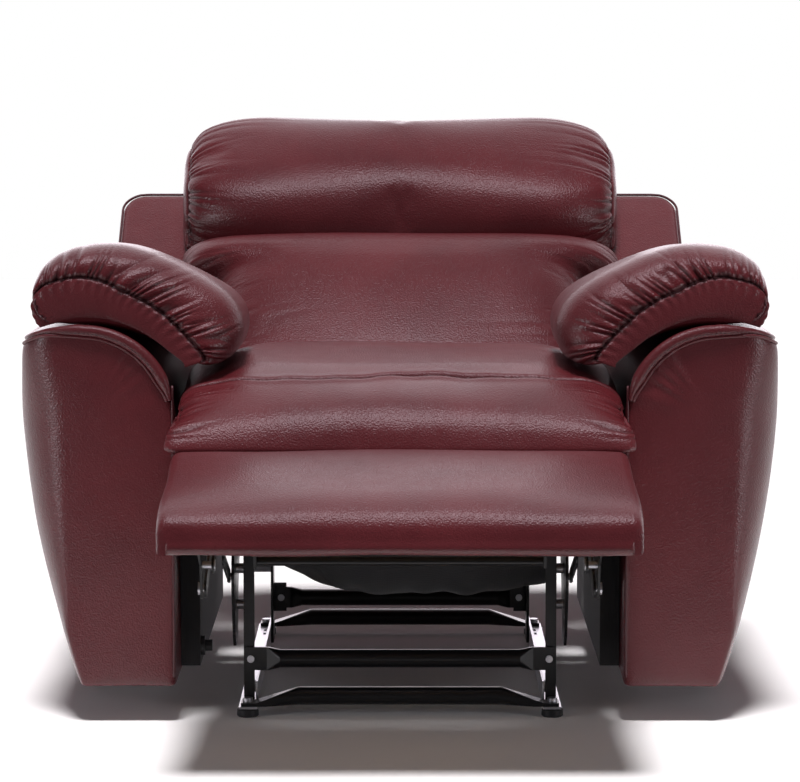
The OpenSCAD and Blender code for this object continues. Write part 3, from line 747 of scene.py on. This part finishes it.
FOOT_LOOP = [  # (a, h) round the footrest and its wrapped board, starting under the rear
    (-10, -37.3), (-60, -37.4), (-140, -37.4), (-220, -37.4), (-268, -37.4), (-276.7, -38.5), (-276.8, -49),
    (-282, -52.5), (-291, -51.5), (-297, -46), (-298, -39), (-294, -32.5), (-292, -27), (-289.5, -19),
    (-284, -11), (-273, -4.5), (-257, 0), (-236, 3), (-205, 4.5), (-150, 5), (-80, 4), (-30, 1), (-8, -2),
    (-1, -9), (0, -22), (-3, -34),
]


def make_footrest():
    loop = spline(FOOT_LOOP, 120, closed=True)
    end = np.r_[0.262, 0.270, 0.278, 0.2845, 0.2882, 0.2886, 0.2905, 0.2935, 0.2965, 0.299, FOOT_W + 0.001]
    rings = []
    for x in np.r_[-end[::-1], np.linspace(-0.255, 0.255, 45), end]:
        a, h = loop.T.copy()
        tuck = 0.009 * fall_round((abs(x) - (FOOT_W - 0.013)) / 0.014)
        # past the board the wrapped hide closes the underside
        if abs(x) > 0.2884:
            h = np.where(h < -0.0365, -0.0505 + 0.4 * tuck, h)
        h = np.where(h > -0.02, h - tuck * smooth((h + 0.03) / 0.02), h)
        h = h + 0.004 * (1 - (x / FOOT_W) ** 2) * smooth((h + 0.012) / 0.010)
        a = np.where(a < -0.272, a + tuck * 0.3, a)
        flare = 1 + 0.006 * smooth((-a - 0.10) / 0.15)
        rings.append(on_foot(x * flare, a, h))
    targets = []
    for ring in (rings[0], rings[-1]):
        y = np.clip(ring[:, 1] - FOOT_CORNER[0], -0.262, -0.02)
        z = FOOT_CORNER[1] + y * math.tan(FOOT_SLOPE) - 0.024
        targets.append(np.stack([np.full(len(y), ring[:, 0].mean()), FOOT_CORNER[0] + y, z], -1))
    grid = capped(rings, targets, 3, (0.0015, 0.0015))
    d, s = seam_distances(grid, 3)
    hold = np.maximum(np.exp(-((d / 0.008) ** 2)), (loop[:, 1] < -0.030) * 1.0)
    return pillow("footrest_pillow", grid, d, s, hold, (9, 9), 4.0, 0.004)


# ---- Arms ----

ARCH_R = 0.124
BOW = 0.076
TOP_CORNER = 0.030
REAR_ROUND = 0.045
SIDE_BELLY = 0.008
EDGE_R = 0.010
ARM_TUCK = 0.012
CAP_FRONT, CAP_REAR = 0.085, 0.660


def arm_paths(shares):
    """Inner and outer outlines of an arm at shares of their lengths from the bottom up, as (x, z)."""
    shoulder = ARM_TOP - TOP_CORNER
    rise = shoulder - ARM_LOW
    z = np.linspace(ARM_LOW, shoulder, 40)
    bow_r = (rise**2 + BOW**2) / (2 * BOW)
    bow = np.stack([ARM_OUT - bow_r + np.sqrt(bow_r**2 - (shoulder - z) ** 2), z], -1)
    a = np.radians(np.linspace(0, 90, 16))[1:]
    corner = [ARM_OUT - TOP_CORNER, shoulder] + TOP_CORNER * np.stack([np.cos(a), np.sin(a)], -1)
    straight = np.stack([np.full(20, ARM_IN), np.linspace(ARM_LOW, ARM_TOP - ARCH_R, 20)], -1)
    b = np.radians(np.linspace(180, 90, 30))[1:]
    arch = [ARM_IN + ARCH_R, ARM_TOP - ARCH_R] + ARCH_R * np.stack([np.cos(b), np.sin(b)], -1)
    inner, outer = np.concatenate([straight, arch]), np.concatenate([bow, corner])
    return points_along(inner, shares), points_along(outer, shares)


def arm_stations():
    """One turn round an arm, as (what the place is counted in, the place, y, which face).
    Along a "flat" the place is a share of the flat width, along a "round" it is a share of the outer corner,
    and a "side" or an "edge" gives the distance from the inner outline and from the face."""
    ys = np.linspace(CAP_FRONT, CAP_REAR, 30)
    turn = np.radians([30, 60, 90])
    into, off = EDGE_R * (1 - np.cos(turn)), EDGE_R * (1 - np.sin(turn))
    rows = [("inner", 0, y, "") for y in (*ys[::-1], 0.060, 0.035, 0.018)]
    rows += [("edge", x, y, "") for x, y in zip(into, off)]
    rows += [("flat", k / 11, 0, "front") for k in range(1, 12)]
    rows += [("round", k / 9, 0, "front") for k in range(1, 10)]
    rows += [("outer", 0, y, "") for y in ys]
    rows += [("round", 1 - k / 6, 0, "rear") for k in range(1, 7)]
    rows += [("flat", 1 - k / 11, 0, "rear") for k in range(1, 11)]
    rows += [("edge", x, ARM_L - y, "") for x, y in zip(off[:2], into[:2])]
    rows += [("inner", 0, ARM_L - y, "") for y in (0.012, 0.030, 0.055)]
    return rows


def arm_ring(t, side):
    """One turn round an arm at share t of its outlines, and the line on which its cap closes."""
    (xi, zi), (xo, zo) = (p[0] for p in arm_paths(np.array([max(t, 0.0)])))
    if t < 0:  # the cover is turned under a little past the frame
        zi, zo = zi + t * 0.5, zo + t * 0.5
    width = math.hypot(xo - xi, zo - zi)
    upper = smooth((t - 0.70) / 0.28)
    flat_end = min(0.93, max(0.45, (0.446 + 0.024 * upper - xi) / (xo - xi)))
    full = (1 - smooth((t - 0.75) / 0.25)) * math.sin(math.pi * min(1, max(0, t) * 1.1)) ** 0.5
    points, targets = [], []
    for kind, place, y, face in arm_stations():
        if kind == "edge":
            share = place / width
        elif kind == "flat":
            share = EDGE_R / width + (flat_end - EDGE_R / width) * place
            belly = math.sin(math.pi * place) ** 0.8 * full if place < 1 else 0.0
            y = -0.004 * belly if face == "front" else ARM_L + 0.003 * belly
        elif kind == "round":
            turn = place * math.pi / 2
            share = flat_end + (1 - flat_end) * math.sin(turn)
            drop = 1 - math.cos(turn)
            y = (0.075 - 0.045 * upper) * drop if face == "front" else ARM_L - REAR_ROUND * drop
        else:
            share = float(kind == "outer")
        belly = SIDE_BELLY * smooth(y / 0.10) * smooth((ARM_L - y) / 0.10)
        belly = (0.009 + belly * 0.5) * share**3 * (1 - 0.6 * upper)
        points.append((side * (xi + (xo - xi) * share + belly), y, zi + (zo - zi) * share))
        targets.append((side * (xi + xo) / 2, min(max(y, CAP_FRONT), CAP_REAR), (zi + zo) / 2))
    return on_chair(*np.transpose(points)), on_chair(*np.transpose(targets))


def make_arm(side, tag):
    rings, ends = [], []
    for t in np.r_[-ARM_TUCK, -0.008, 0.002, 0.014, 0.026, np.linspace(0.05, 0.95, 36), 0.975, 0.99, 1.0]:
        ring, target = arm_ring(t, side)
        inward = target - ring
        far = np.maximum(np.linalg.norm(inward, axis=1, keepdims=True), 1e-6)
        rings.append(ring + inward / far * 0.006 * (1 - ease_round((t + ARM_TUCK) / 0.022)))
        ends.append(target)
    return grid_object(f"arm_skin_{tag}", capped(rings, [ends[0], ends[-1]], 4, (0.0, 0.0015)), HIDE)


# ---- Arm pads ----

# outlines of the right pad, (x, z) from its inner end over the top, and the same under it
PAD_TOP = [
    (470, 546), (489, 560), (499, 586), (491, 617), (462, 640), (422, 650), (380, 651), (340, 640),
    (302, 623), (264, 603), (230, 578), (213, 548), (215, 516), (232, 493), (258, 486),
]
PAD_LOW = [(470, 546), (440, 541), (400, 538.5), (360, 529), (320, 514), (285, 499), (258, 486)]
PAD_SEAM = [
    (470, 546), (487, 556), (496, 578), (484, 596), (458, 605), (430, 608), (402, 602), (376, 590),
    (350, 578), (326, 562), (304, 543), (286, 525), (272, 510), (265, 500), (268, 493), (276, 492),
]
PAD_PANEL_LOW = [
    (470, 546), (452, 549), (425, 552), (392, 550), (358, 541), (326, 525), (300, 507), (276, 492),
]
PAD_NARROW_TOP = [
    *PAD_TOP[:5],
    (430, 649), (400, 650), (372, 645), (350, 632), (334, 612), (326, 590), (326, 568), (334, 552), (346, 544),
    (360, 541),
]
PAD_NARROW_LOW = [(470, 546), (450, 541), (430, 539), (410, 539), (395, 539), (375, 540), (360, 541)]
PAD_N = 72
PAD_FRONT, PAD_NOSE, PAD_TAIL = 0.012, 0.062, 0.435


def pad_loop(top, low):
    return np.concatenate([spline(top, PAD_N), spline(low, PAD_N)[::-1][1:-1]])


def pad_spine(ring):
    """The line half way between the upper and the lower side of a ring."""
    lower = np.concatenate([ring[:1], ring[PAD_N:][::-1], ring[PAD_N - 1:PAD_N]])
    middle = (ring[:PAD_N] + lower) / 2
    return np.concatenate([middle, middle[::-1][1:-1]])


def make_pad(side, tag):
    seam, full = pad_loop(PAD_SEAM, PAD_PANEL_LOW), pad_loop(PAD_TOP, PAD_LOW)
    narrow = pad_loop(PAD_NARROW_TOP, PAD_NARROW_LOW)
    rings = []
    for a in np.radians(np.linspace(0, 90, 11)):
        w = math.sin(a) ** 0.9
        rings.append((PAD_FRONT + PAD_NOSE * (1 - math.cos(a)), seam * (1 - w) + full * w))
    for y in np.linspace(PAD_FRONT + PAD_NOSE + 0.012, PAD_TAIL, 30):
        w = smooth((y - 0.20) / 0.20)
        rings.append((y, full * (1 - w) + narrow * w))
    centre = np.array([0.420, 0.592])
    for a in np.radians(np.linspace(0, 90, 9))[1:]:
        ring = centre + (narrow - centre) * (0.45 + 0.55 * math.cos(a))
        ring[:, 1] = np.maximum(ring[:, 1], 0.5395)
        rings.append((PAD_TAIL + 0.062 * math.sin(a), ring))
    grid = []
    for y, ring in rings:
        x, z = ring.T
        sink = 0.030 * max(0.0, y - 0.09) / 0.4 * smooth((z - 0.55) / 0.08)
        grid.append(on_chair(side * x, y, z - sink))
    first = 6
    grid = capped(grid, [pad_spine(grid[0]), pad_spine(grid[-1])], first, (0.018, 0.003), 0.6)
    rows = along_rings(grid)
    d = rows - rows[first]
    s = np.broadcast_to(distance_along(grid[first]), d.shape)
    upper = np.zeros(grid.shape[1])
    upper[:PAD_N] = np.minimum(1, np.minimum(np.arange(PAD_N), np.arange(PAD_N)[::-1]) / 3)
    hold = np.maximum(np.exp(-((d / 0.006) ** 2)), (1 - upper) * 0.9)
    return pillow(f"arm_pillow_{tag}", grid, d, s, hold, (0, 6), 5.0, 0.008, upper=upper)


# ---- Dust cloth under the seat ----


def make_dust_cloth():
    """A sling between two rails, with flat lips under them, hitched up a little towards both sides."""
    half, rail_z, depth = 0.206, 0.2990, 0.146
    a = np.radians(np.linspace(3, 177, 49))
    y = 0.222 + 0.139 * np.sign(np.cos(a)) * np.abs(np.cos(a)) ** 0.6
    z = rail_z - depth * np.abs(np.sin(a)) ** 0.6
    y = np.r_[np.linspace(0.378, 0.364, 5), y, np.linspace(0.078, 0.033, 12)]
    z = np.r_[np.full(5, rail_z), z, np.full(12, rail_z)]
    sag = np.clip((rail_z - 0.001 - z) / depth, 0, 1)
    lines = []
    for x in np.linspace(-half, half, 57):
        lift = 0.040 * smooth((-x - 0.05) / 0.15) + 0.014 * smooth((x - 0.12) / 0.09)
        lines.append(on_chair(x, y, z + sag * lift))
    co = np.array(lines)
    n, m, _ = co.shape
    flat = co.reshape(-1, 3)
    sag = np.clip((rail_z - 0.001 - flat[:, 2]) / depth, 0, 1)
    flat[:, 2] += sag * (0.005 * waves(flat[:, :2], 0.07, 11) + 0.002 * waves(flat[:, :2], 0.03, 12))
    k = (np.arange(n - 1)[:, None] * m + np.arange(m - 1)).reshape(-1, 1)
    obj = mesh_object("dust_cloth", flat, k + [0, 1, m + 1, m], CLOTH, merge=False)
    thick = obj.modifiers.new("thick", "SOLIDIFY")
    thick.thickness, thick.offset = 0.0012, 0
    applied(obj)
    refined(obj, 1)
    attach(obj, "seat")
    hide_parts("seat_dust_cover")


# ---- Build ----

headrest = make_headrest()
lumbar = make_lumbar()
lumbar_roll = make_lumbar_roll()
shell = make_shell()
seat = make_seat()
footrest = make_footrest()
arms = {tag: make_arm(side, tag) for side, tag in SIDES}
pads = {tag: make_pad(side, tag) for side, tag in SIDES}
simulate()

for obj in (headrest, lumbar, lumbar_roll, shell, seat, footrest, *arms.values(), *pads.values()):
    refined(obj)

# ---- Gathers and lumps ----


def end_folds(obj, seed, pitches, lengths):
    """Gathers with their own pattern at the left and at the right end."""
    co, s, d = folded(obj)
    ends = [folds(s, d, seed + 10 * k, pitches[k], lengths[k]) for k in (0, 1)]
    return [np.where(co[:, 0] < 0, left, right) for left, right in zip(*ends)]


for i, obj in enumerate((headrest, lumbar)):
    co, s, d = folded(obj)
    ridge, crease, taut = end_folds(obj, 21 + i, (0.0125, 0.0120), (0.046, 0.048))
    long_ridge, long_painted_shade, _ = end_folds(obj, 23 + i, (0.0270, 0.0260), (0.095, 0.090))
    swell = (1 - i) * 1.6 * np.exp(-((co[:, 0] / 0.06) ** 2)) * smooth((co[:, 2] - 0.66) / 0.10)
    lumps = waves(co, 0.17, 25 + i) * smooth(d / 0.04) + swell
    relief = (0.0050 - 0.0014 * i) * ridge + 0.0030 * long_ridge + 0.0010 * lumps
    # painted shade in the valleys of the gathers at both ends
    push(obj, relief, (0.8 - 0.3 * i) * crease + 0.2 * long_painted_shade, (1 - 0.7 * i) * taut)

co, s, d = folded(seat)
y, z = co[:, 1] - FRONT, co[:, 2]
ridge, crease, taut = folds(s, d, 41, 0.0105, 0.046)
on_front = smooth((0.01 - y) / 0.03) * smooth((z - 0.392) / 0.02)
on_top = z > 0.43
off_seam = y - SEAT_SEAM_Y - seam_wander(co[:, 0])
groove = np.exp(-((off_seam / 0.0030) ** 2)) * on_top
beside = np.exp(-(((np.abs(off_seam) - 0.009) / 0.007) ** 2)) * on_top
pull = waves(co * [1, 0.25, 0], 0.034, 43) * np.exp(-(np.abs(y - SEAT_SEAM_Y) / 0.035)) * on_top
lumps = waves(co, 0.15, 42) * smooth((z - 0.385) / 0.03)
# painted shade in the front gathers and along the seam groove
relief = 0.0050 * ridge * on_front - 0.0046 * groove + 0.0022 * beside + 0.0014 * pull + 0.0016 * lumps
push(seat, relief, 0.7 * crease * on_front + 0.8 * groove, taut * on_front)

push(footrest, 0.0010 * waves(coords(footrest.data), 0.11, 51))

for i, pad in enumerate(pads.values()):
    co, s, d = folded(pad)
    upper = field(pad.data, "upper")
    inward = smooth((s / s.max() - 0.12) / 0.25)
    ridge, crease, taut = folds(s, d, 61 + i, 0.0112, 0.040)
    long_ridge, long_painted_shade, _ = folds(s, d, 71 + i, 0.0290, 0.062)
    lumps = waves(co, 0.12, 81 + i) * smooth(d / 0.05)
    relief = (0.0048 + 0.0050 * inward) * ridge + 0.0058 * long_ridge + 0.0012 * lumps
    # short pulls on the end panel, below the seam
    panel = upper * smooth(-d / 0.002) * np.exp(-((np.minimum(d, 0) / 0.016) ** 2))
    tugs = np.sin(2 * math.pi * s / 0.014 + 1.6 * np.sin(s / 0.031 + i)) * panel
    # painted shade in the valleys of the gathers and along the seam line
    edge = upper * np.exp(-((d / 0.0035) ** 2))
    crease = np.clip(0.8 * crease + 0.3 * long_painted_shade + 0.4 * edge, 0, 1)
    push(pad, upper * relief + 0.0009 * tugs - 0.0012 * edge, upper * crease, upper * taut)

for i, arm in enumerate(arms.values()):
    co = coords(arm.data)
    x, y, z = np.abs(co[:, 0]), co[:, 1] - FRONT, co[:, 2]
    # pull wrinkles that fan out from the arch across the front panel
    right, up = x - ARM_IN - ARCH_R, z - ARM_TOP + ARCH_R
    out = np.hypot(right, up) - ARCH_R
    turn = np.arctan2(up, -right)
    fan = smooth((turn - 0.15) / 0.3) * smooth((1.25 - turn) / 0.3) * (y < 0.02)
    tug = np.sin(turn * 26 + 2.5 * np.sin(turn * 7 + i)) * np.exp(-((out / 0.055) ** 2)) * (out < 0) * fan
    # painted shade on the inner arm under the pad, where the pad keeps light off
    shade_under_pad = smooth((ARM_IN + 0.15 - x) / 0.08) * smooth((y - 0.012) / 0.03) * smooth((z - 0.38) / 0.05)
    push(arm, 0.0009 * waves(co, 0.13, 91 + i) + (0.0012 + 0.0008 * i) * tug, 0.9 * shade_under_pad)

# ---- Handle pocket through the outer face of the left arm ----

bezel_lo, bezel_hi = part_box("release_bezel")
corner_x, corner_y = (bezel_lo.x - 0.05, bezel_hi.x + 0.002), (bezel_lo.y, bezel_hi.y)
corners = [(x, y, z) for x in corner_x for y in corner_y for z in (bezel_lo.z, bezel_hi.z)]
box_faces = [(0, 1, 3, 2), (4, 6, 7, 5), (0, 4, 5, 1), (2, 3, 7, 6), (0, 2, 6, 4), (1, 5, 7, 3)]
cutter = mesh_object("cutter", corners, box_faces, HIDE_DARK)
cut = arms["left"].modifiers.new("pocket", "BOOLEAN")
cut.operation, cut.solver, cut.object = "DIFFERENCE", "EXACT", cutter
applied(arms["left"])
bpy.data.objects.remove(cutter)

# ---- What each piece rides on and stands for ----

soft_piece(headrest, "back", "headrest_cushion")
soft_piece(lumbar, "back", "lumbar_cushion")
soft_piece(lumbar_roll, "back")
soft_piece(shell, "back", "back_shell")
soft_piece(seat, "seat", "seat_cushion")
soft_piece(footrest, "footrest", "footrest_pad")
for tag in arms:
    soft_piece(arms[tag], "base", f"arm_cover_{tag}")
    soft_piece(pads[tag], "base", f"arm_pad_{tag}")
make_dust_cloth()

# ---- Welts, seams and stitching ----

BAND_N = 260
BAND_STITCHED = 0.56
BAND_TAIL = [  # (x, y, z) of the band from the end of its arch, over the corner and along the side
    (430, 1, 537.8), (456, 1, 537.4), (478, 4, 535.6), (495, 12, 531.0), (505, 28, 526.2),
    (509.5, 55, 523.5), (510.5, 120, 522.5), (510.5, 300, 522.5), (510.5, 500, 522.5),
]


def arm_band(side, tag):
    """A rolled band round the arch of the arm and back along its side, with a cord and a row of stitches."""
    tree = surface(arms[tag])
    inner, _ = arm_paths(np.linspace(0.70, 1, 60))
    x, z = inner.T
    arch = np.stack([x + np.linspace(0.0035, 0, 60), np.full(60, 0.001), z], -1)
    line = np.concatenate([arch, spline([arch[-1] * 1000, *BAND_TAIL], 110)[1:]])
    line = resample(on_chair(*(line * [side, 1, 1]).T), BAND_N)
    part = np.linspace(0, 1, BAND_N)
    radius = 0.0030 + 0.0056 * smooth(part / 0.05) - 0.0016 * smooth((part - 0.1) / 0.3)
    radius *= 1 - 0.5 * smooth((np.abs(line[:, 0]) - 0.43) / 0.06)
    band = trim(tube(f"arm_roll_{tag}", line, radius, HIDE, 14), "base")
    # the cord and the stitches follow the arch only
    arch, radius = line[:int(BAND_N * BAND_STITCHED)], radius[:int(BAND_N * BAND_STITCHED), None]
    inward = on_chair(side * (ARM_IN + ARCH_R), 0.0, ARM_TOP - ARCH_R) - arch
    inward[:, 0] = np.where(np.abs(arch[:, 0]) > ARM_IN + ARCH_R, 0, inward[:, 0])
    inward[:, 1] = 0
    inward /= np.linalg.norm(inward, axis=1, keepdims=True)
    ahead, rearward = [0, -0.02, 0], (0, 1, 0)
    cord = laid_on(tree, arch + inward * (radius + 0.0014) + ahead, 0.0008, rearward)
    trim(tube(f"arm_roll_cord_{tag}", cord, 0.0024, HIDE, 8), "base")
    tree = surface(band)
    row = laid_on(tree, (arch + inward * 0.45 * radius + ahead)[14:], 0.0, rearward)
    trim(stitches(f"arm_roll_stitch_{tag}", row, tree, 0.0036, 0.0020, 0.0005), "base")


def seam_cord(name, obj, test, radius, body):
    """A cord through the points of a pillow that lie on its seam and pass a test."""
    co, s, d = folded(obj)
    pick = np.where((np.abs(d) < 1e-5) & test)[0]
    path = co[pick[np.argsort(s[pick])]]
    trim(tube(name, resample(path, 220), radius, HIDE_DARK, 6), body)


for side, tag in SIDES:
    arm_band(side, tag)
    # slim welt down the inner front edge
    edge = on_chair(side * (ARM_IN + 0.0035), 0.0030, np.linspace(0.062, 0.462, 60))
    trim(tube(f"arm_edge_welt_{tag}", edge, 0.0019, HIDE_DARK, 8), "base")

for tag, pad in pads.items():
    seam_cord(f"pad_seam_{tag}", pad, field(pad.data, "upper") > 0.2, 0.0012, "base")
for obj, name in ((headrest, "headrest_seam"), (lumbar, "lumbar_seam")):
    for side, tag in SIDES:
        seam_cord(f"{name}_{tag}", obj, coords(obj.data)[:, 0] * side > 0.2, 0.0013, "back")

# cross seam of the seat with a row of top stitching
tree = surface(seat)
x = np.linspace(-SEAT_W + 0.001, SEAT_W - 0.001, 200)
y = SEAT_SEAM_Y + seam_wander(x)
seam = laid_on(tree, on_chair(x, y, 0.60), 0.0004, (0, 0, -1))
trim(tube("seat_seam", seam, 0.0012, HIDE_DARK, 6), "seat")
row = laid_on(tree, on_chair(x, y - 0.006, 0.60), 0.0, (0, 0, -1))
trim(stitches("seat_stitch", row, tree, 0.0036, 0.0022, 0.0004), "seat")

# piping round the face and the rear of the back shell, above the arms
us = np.r_[np.linspace(0.328, 0.336, 6), np.linspace(0.340, 0.372, 14), np.linspace(0.38, 0.505, 12),
           np.linspace(0.510, 0.547, 22)]
half = shell_half_width(us)
for name, v in (("shell_piping_front", SHELL_FACE - 0.0025), ("shell_piping_rear", SHELL_REAR + 0.0025)):
    right = on_back(half - 0.001, us, v)
    top = on_back(np.linspace(half[-1], -half[-1], 60)[1:-1], SHELL_TOP - 0.0015, v)
    path = np.concatenate([right, top, right[::-1] * [-1, 1, 1]])
    trim(tube(name, resample(path, 420), 0.0021, HIDE_DARK, 8), "back")

# ---- Camera ----

data = bpy.data.cameras.new("camera")
camera = bpy.data.objects.new("camera", data)
bpy.context.scene.collection.objects.link(camera)
camera.location = (0.0, FRONT - 4.40, 0.9007)
camera.rotation_euler = (math.radians(90 - 5.78), 0, 0)
data.lens = 147.1
data.sensor_width = 36.0
data.clip_end = 60
bpy.context.scene.camera = camera

# ---- CAD nodes ----

slot_of = {part.get("node"): part.get("material_slot") for part in frame["record"].get("subparts", [])}
for name, obj in frame["nodes"].items():
    old = obj.data.materials[0].name if obj.data.materials else ""
    key = slot_of.get(name) or next((k for k in FINISH if old.startswith(k)), None)
    if not obj.data.materials:
        obj.data.materials.append(STEEL)
    for k in range(len(obj.data.materials)):
        obj.data.materials[k] = FINISH.get(key, STEEL)

# ---- Studio ----


def floor():
    """A white sheet that ends a little in front of the chair."""
    material, tree, shader = new_material("studio_floor")
    tree.link(tree.mix(tree.noise(3.0, 2.0), (0.93, 0.93, 0.93), (0.96, 0.96, 0.96)), shader["Base Color"])
    set_values(shader, Roughness=0.9, Specular_IOR_Level=0.05)
    near, far, wide = FRONT - 0.8, FRONT + 9.0, 6.0
    corners = [(-wide, near, 0), (wide, near, 0), (wide, far, 0), (-wide, far, 0)]
    mesh_object("studio_floor", corners, [(0, 1, 2, 3)], material, merge=False)


def lamp(name, kind, power, at, aim, colour=(1, 1, 1), **settings):
    data = bpy.data.lights.new(name, kind)
    data.energy, data.color = power, colour
    for key, value in settings.items():
        setattr(data, key, value)
    obj = bpy.data.objects.new(name, data)
    obj.location = at
    obj.rotation_euler = (Vector(aim) - Vector(at)).to_track_quat("-Z", "Y").to_euler()
    bpy.context.scene.collection.objects.link(obj)
    return obj


def lights():
    """A soft key and a spot without reflections, a box overhead that gives only these, and low fills."""
    key = lamp("key", "SUN", 3.7, (0, 0, 0), (0, 0, -1), (1.0, 0.96, 0.97), angle=math.radians(12))
    key.rotation_euler = (math.radians(12), math.radians(-2), 0)
    for name, x, power in (("left_box", -2.1, 11), ("right_box", 2.1, 10)):
        lamp(name, "AREA", power, (x, -1.7, 0.5), (0, 0, 0.4), (0.97, 0.95, 1.0),
             shape="RECTANGLE", size=0.6, size_y=0.9)
    top = lamp("top_box", "AREA", 32, (0, FRONT - 0.6, 2.6), (0, FRONT + 0.35, 0.5), (1.0, 0.92, 1.0),
               shape="RECTANGLE", size=2.0, size_y=0.8)
    top.visible_diffuse = False
    spot = lamp("front_spot", "SPOT", 80, (0, FRONT - 1.9, 1.7), (0, FRONT + 0.62, 0.66),
                shadow_soft_size=0.40, spot_size=math.radians(32), spot_blend=1.0)
    key.visible_glossy = spot.visible_glossy = False


def studio_world():
    """A white room: bright behind and above the chair, dim in front, and dimmer still for diffuse light."""
    world = bpy.data.worlds.new("studio")
    bpy.context.scene.world = world
    tree = Tree(world, "Generated")
    background = tree.nodes["Background"].inputs
    rearward = tree.add("SeparateXYZ", tree.where).outputs["Y"]
    room = tree.add("Math", tree.span(rearward, 0.10, 1.15, 0.0, 0.60, "SMOOTHSTEP"))
    tree.link(tree.span(rearward, 0.0, 2.0, 0.88, 1.0, "SMOOTHSTEP"), room.inputs[1])
    path = tree.add("LightPath").outputs
    dimmed = tree.mix(path["Is Diffuse Ray"], room.outputs[0], 0.04)
    tree.link(tree.mix(path["Is Camera Ray"], dimmed, 1.0), background["Strength"])
    tree.link(tree.mix(path["Is Camera Ray"], (1.0, 0.92, 0.98), (1.0, 1.0, 1.0)), background["Color"])


floor()
lights()
studio_world()
bpy.context.scene.view_settings.view_transform = "Standard"
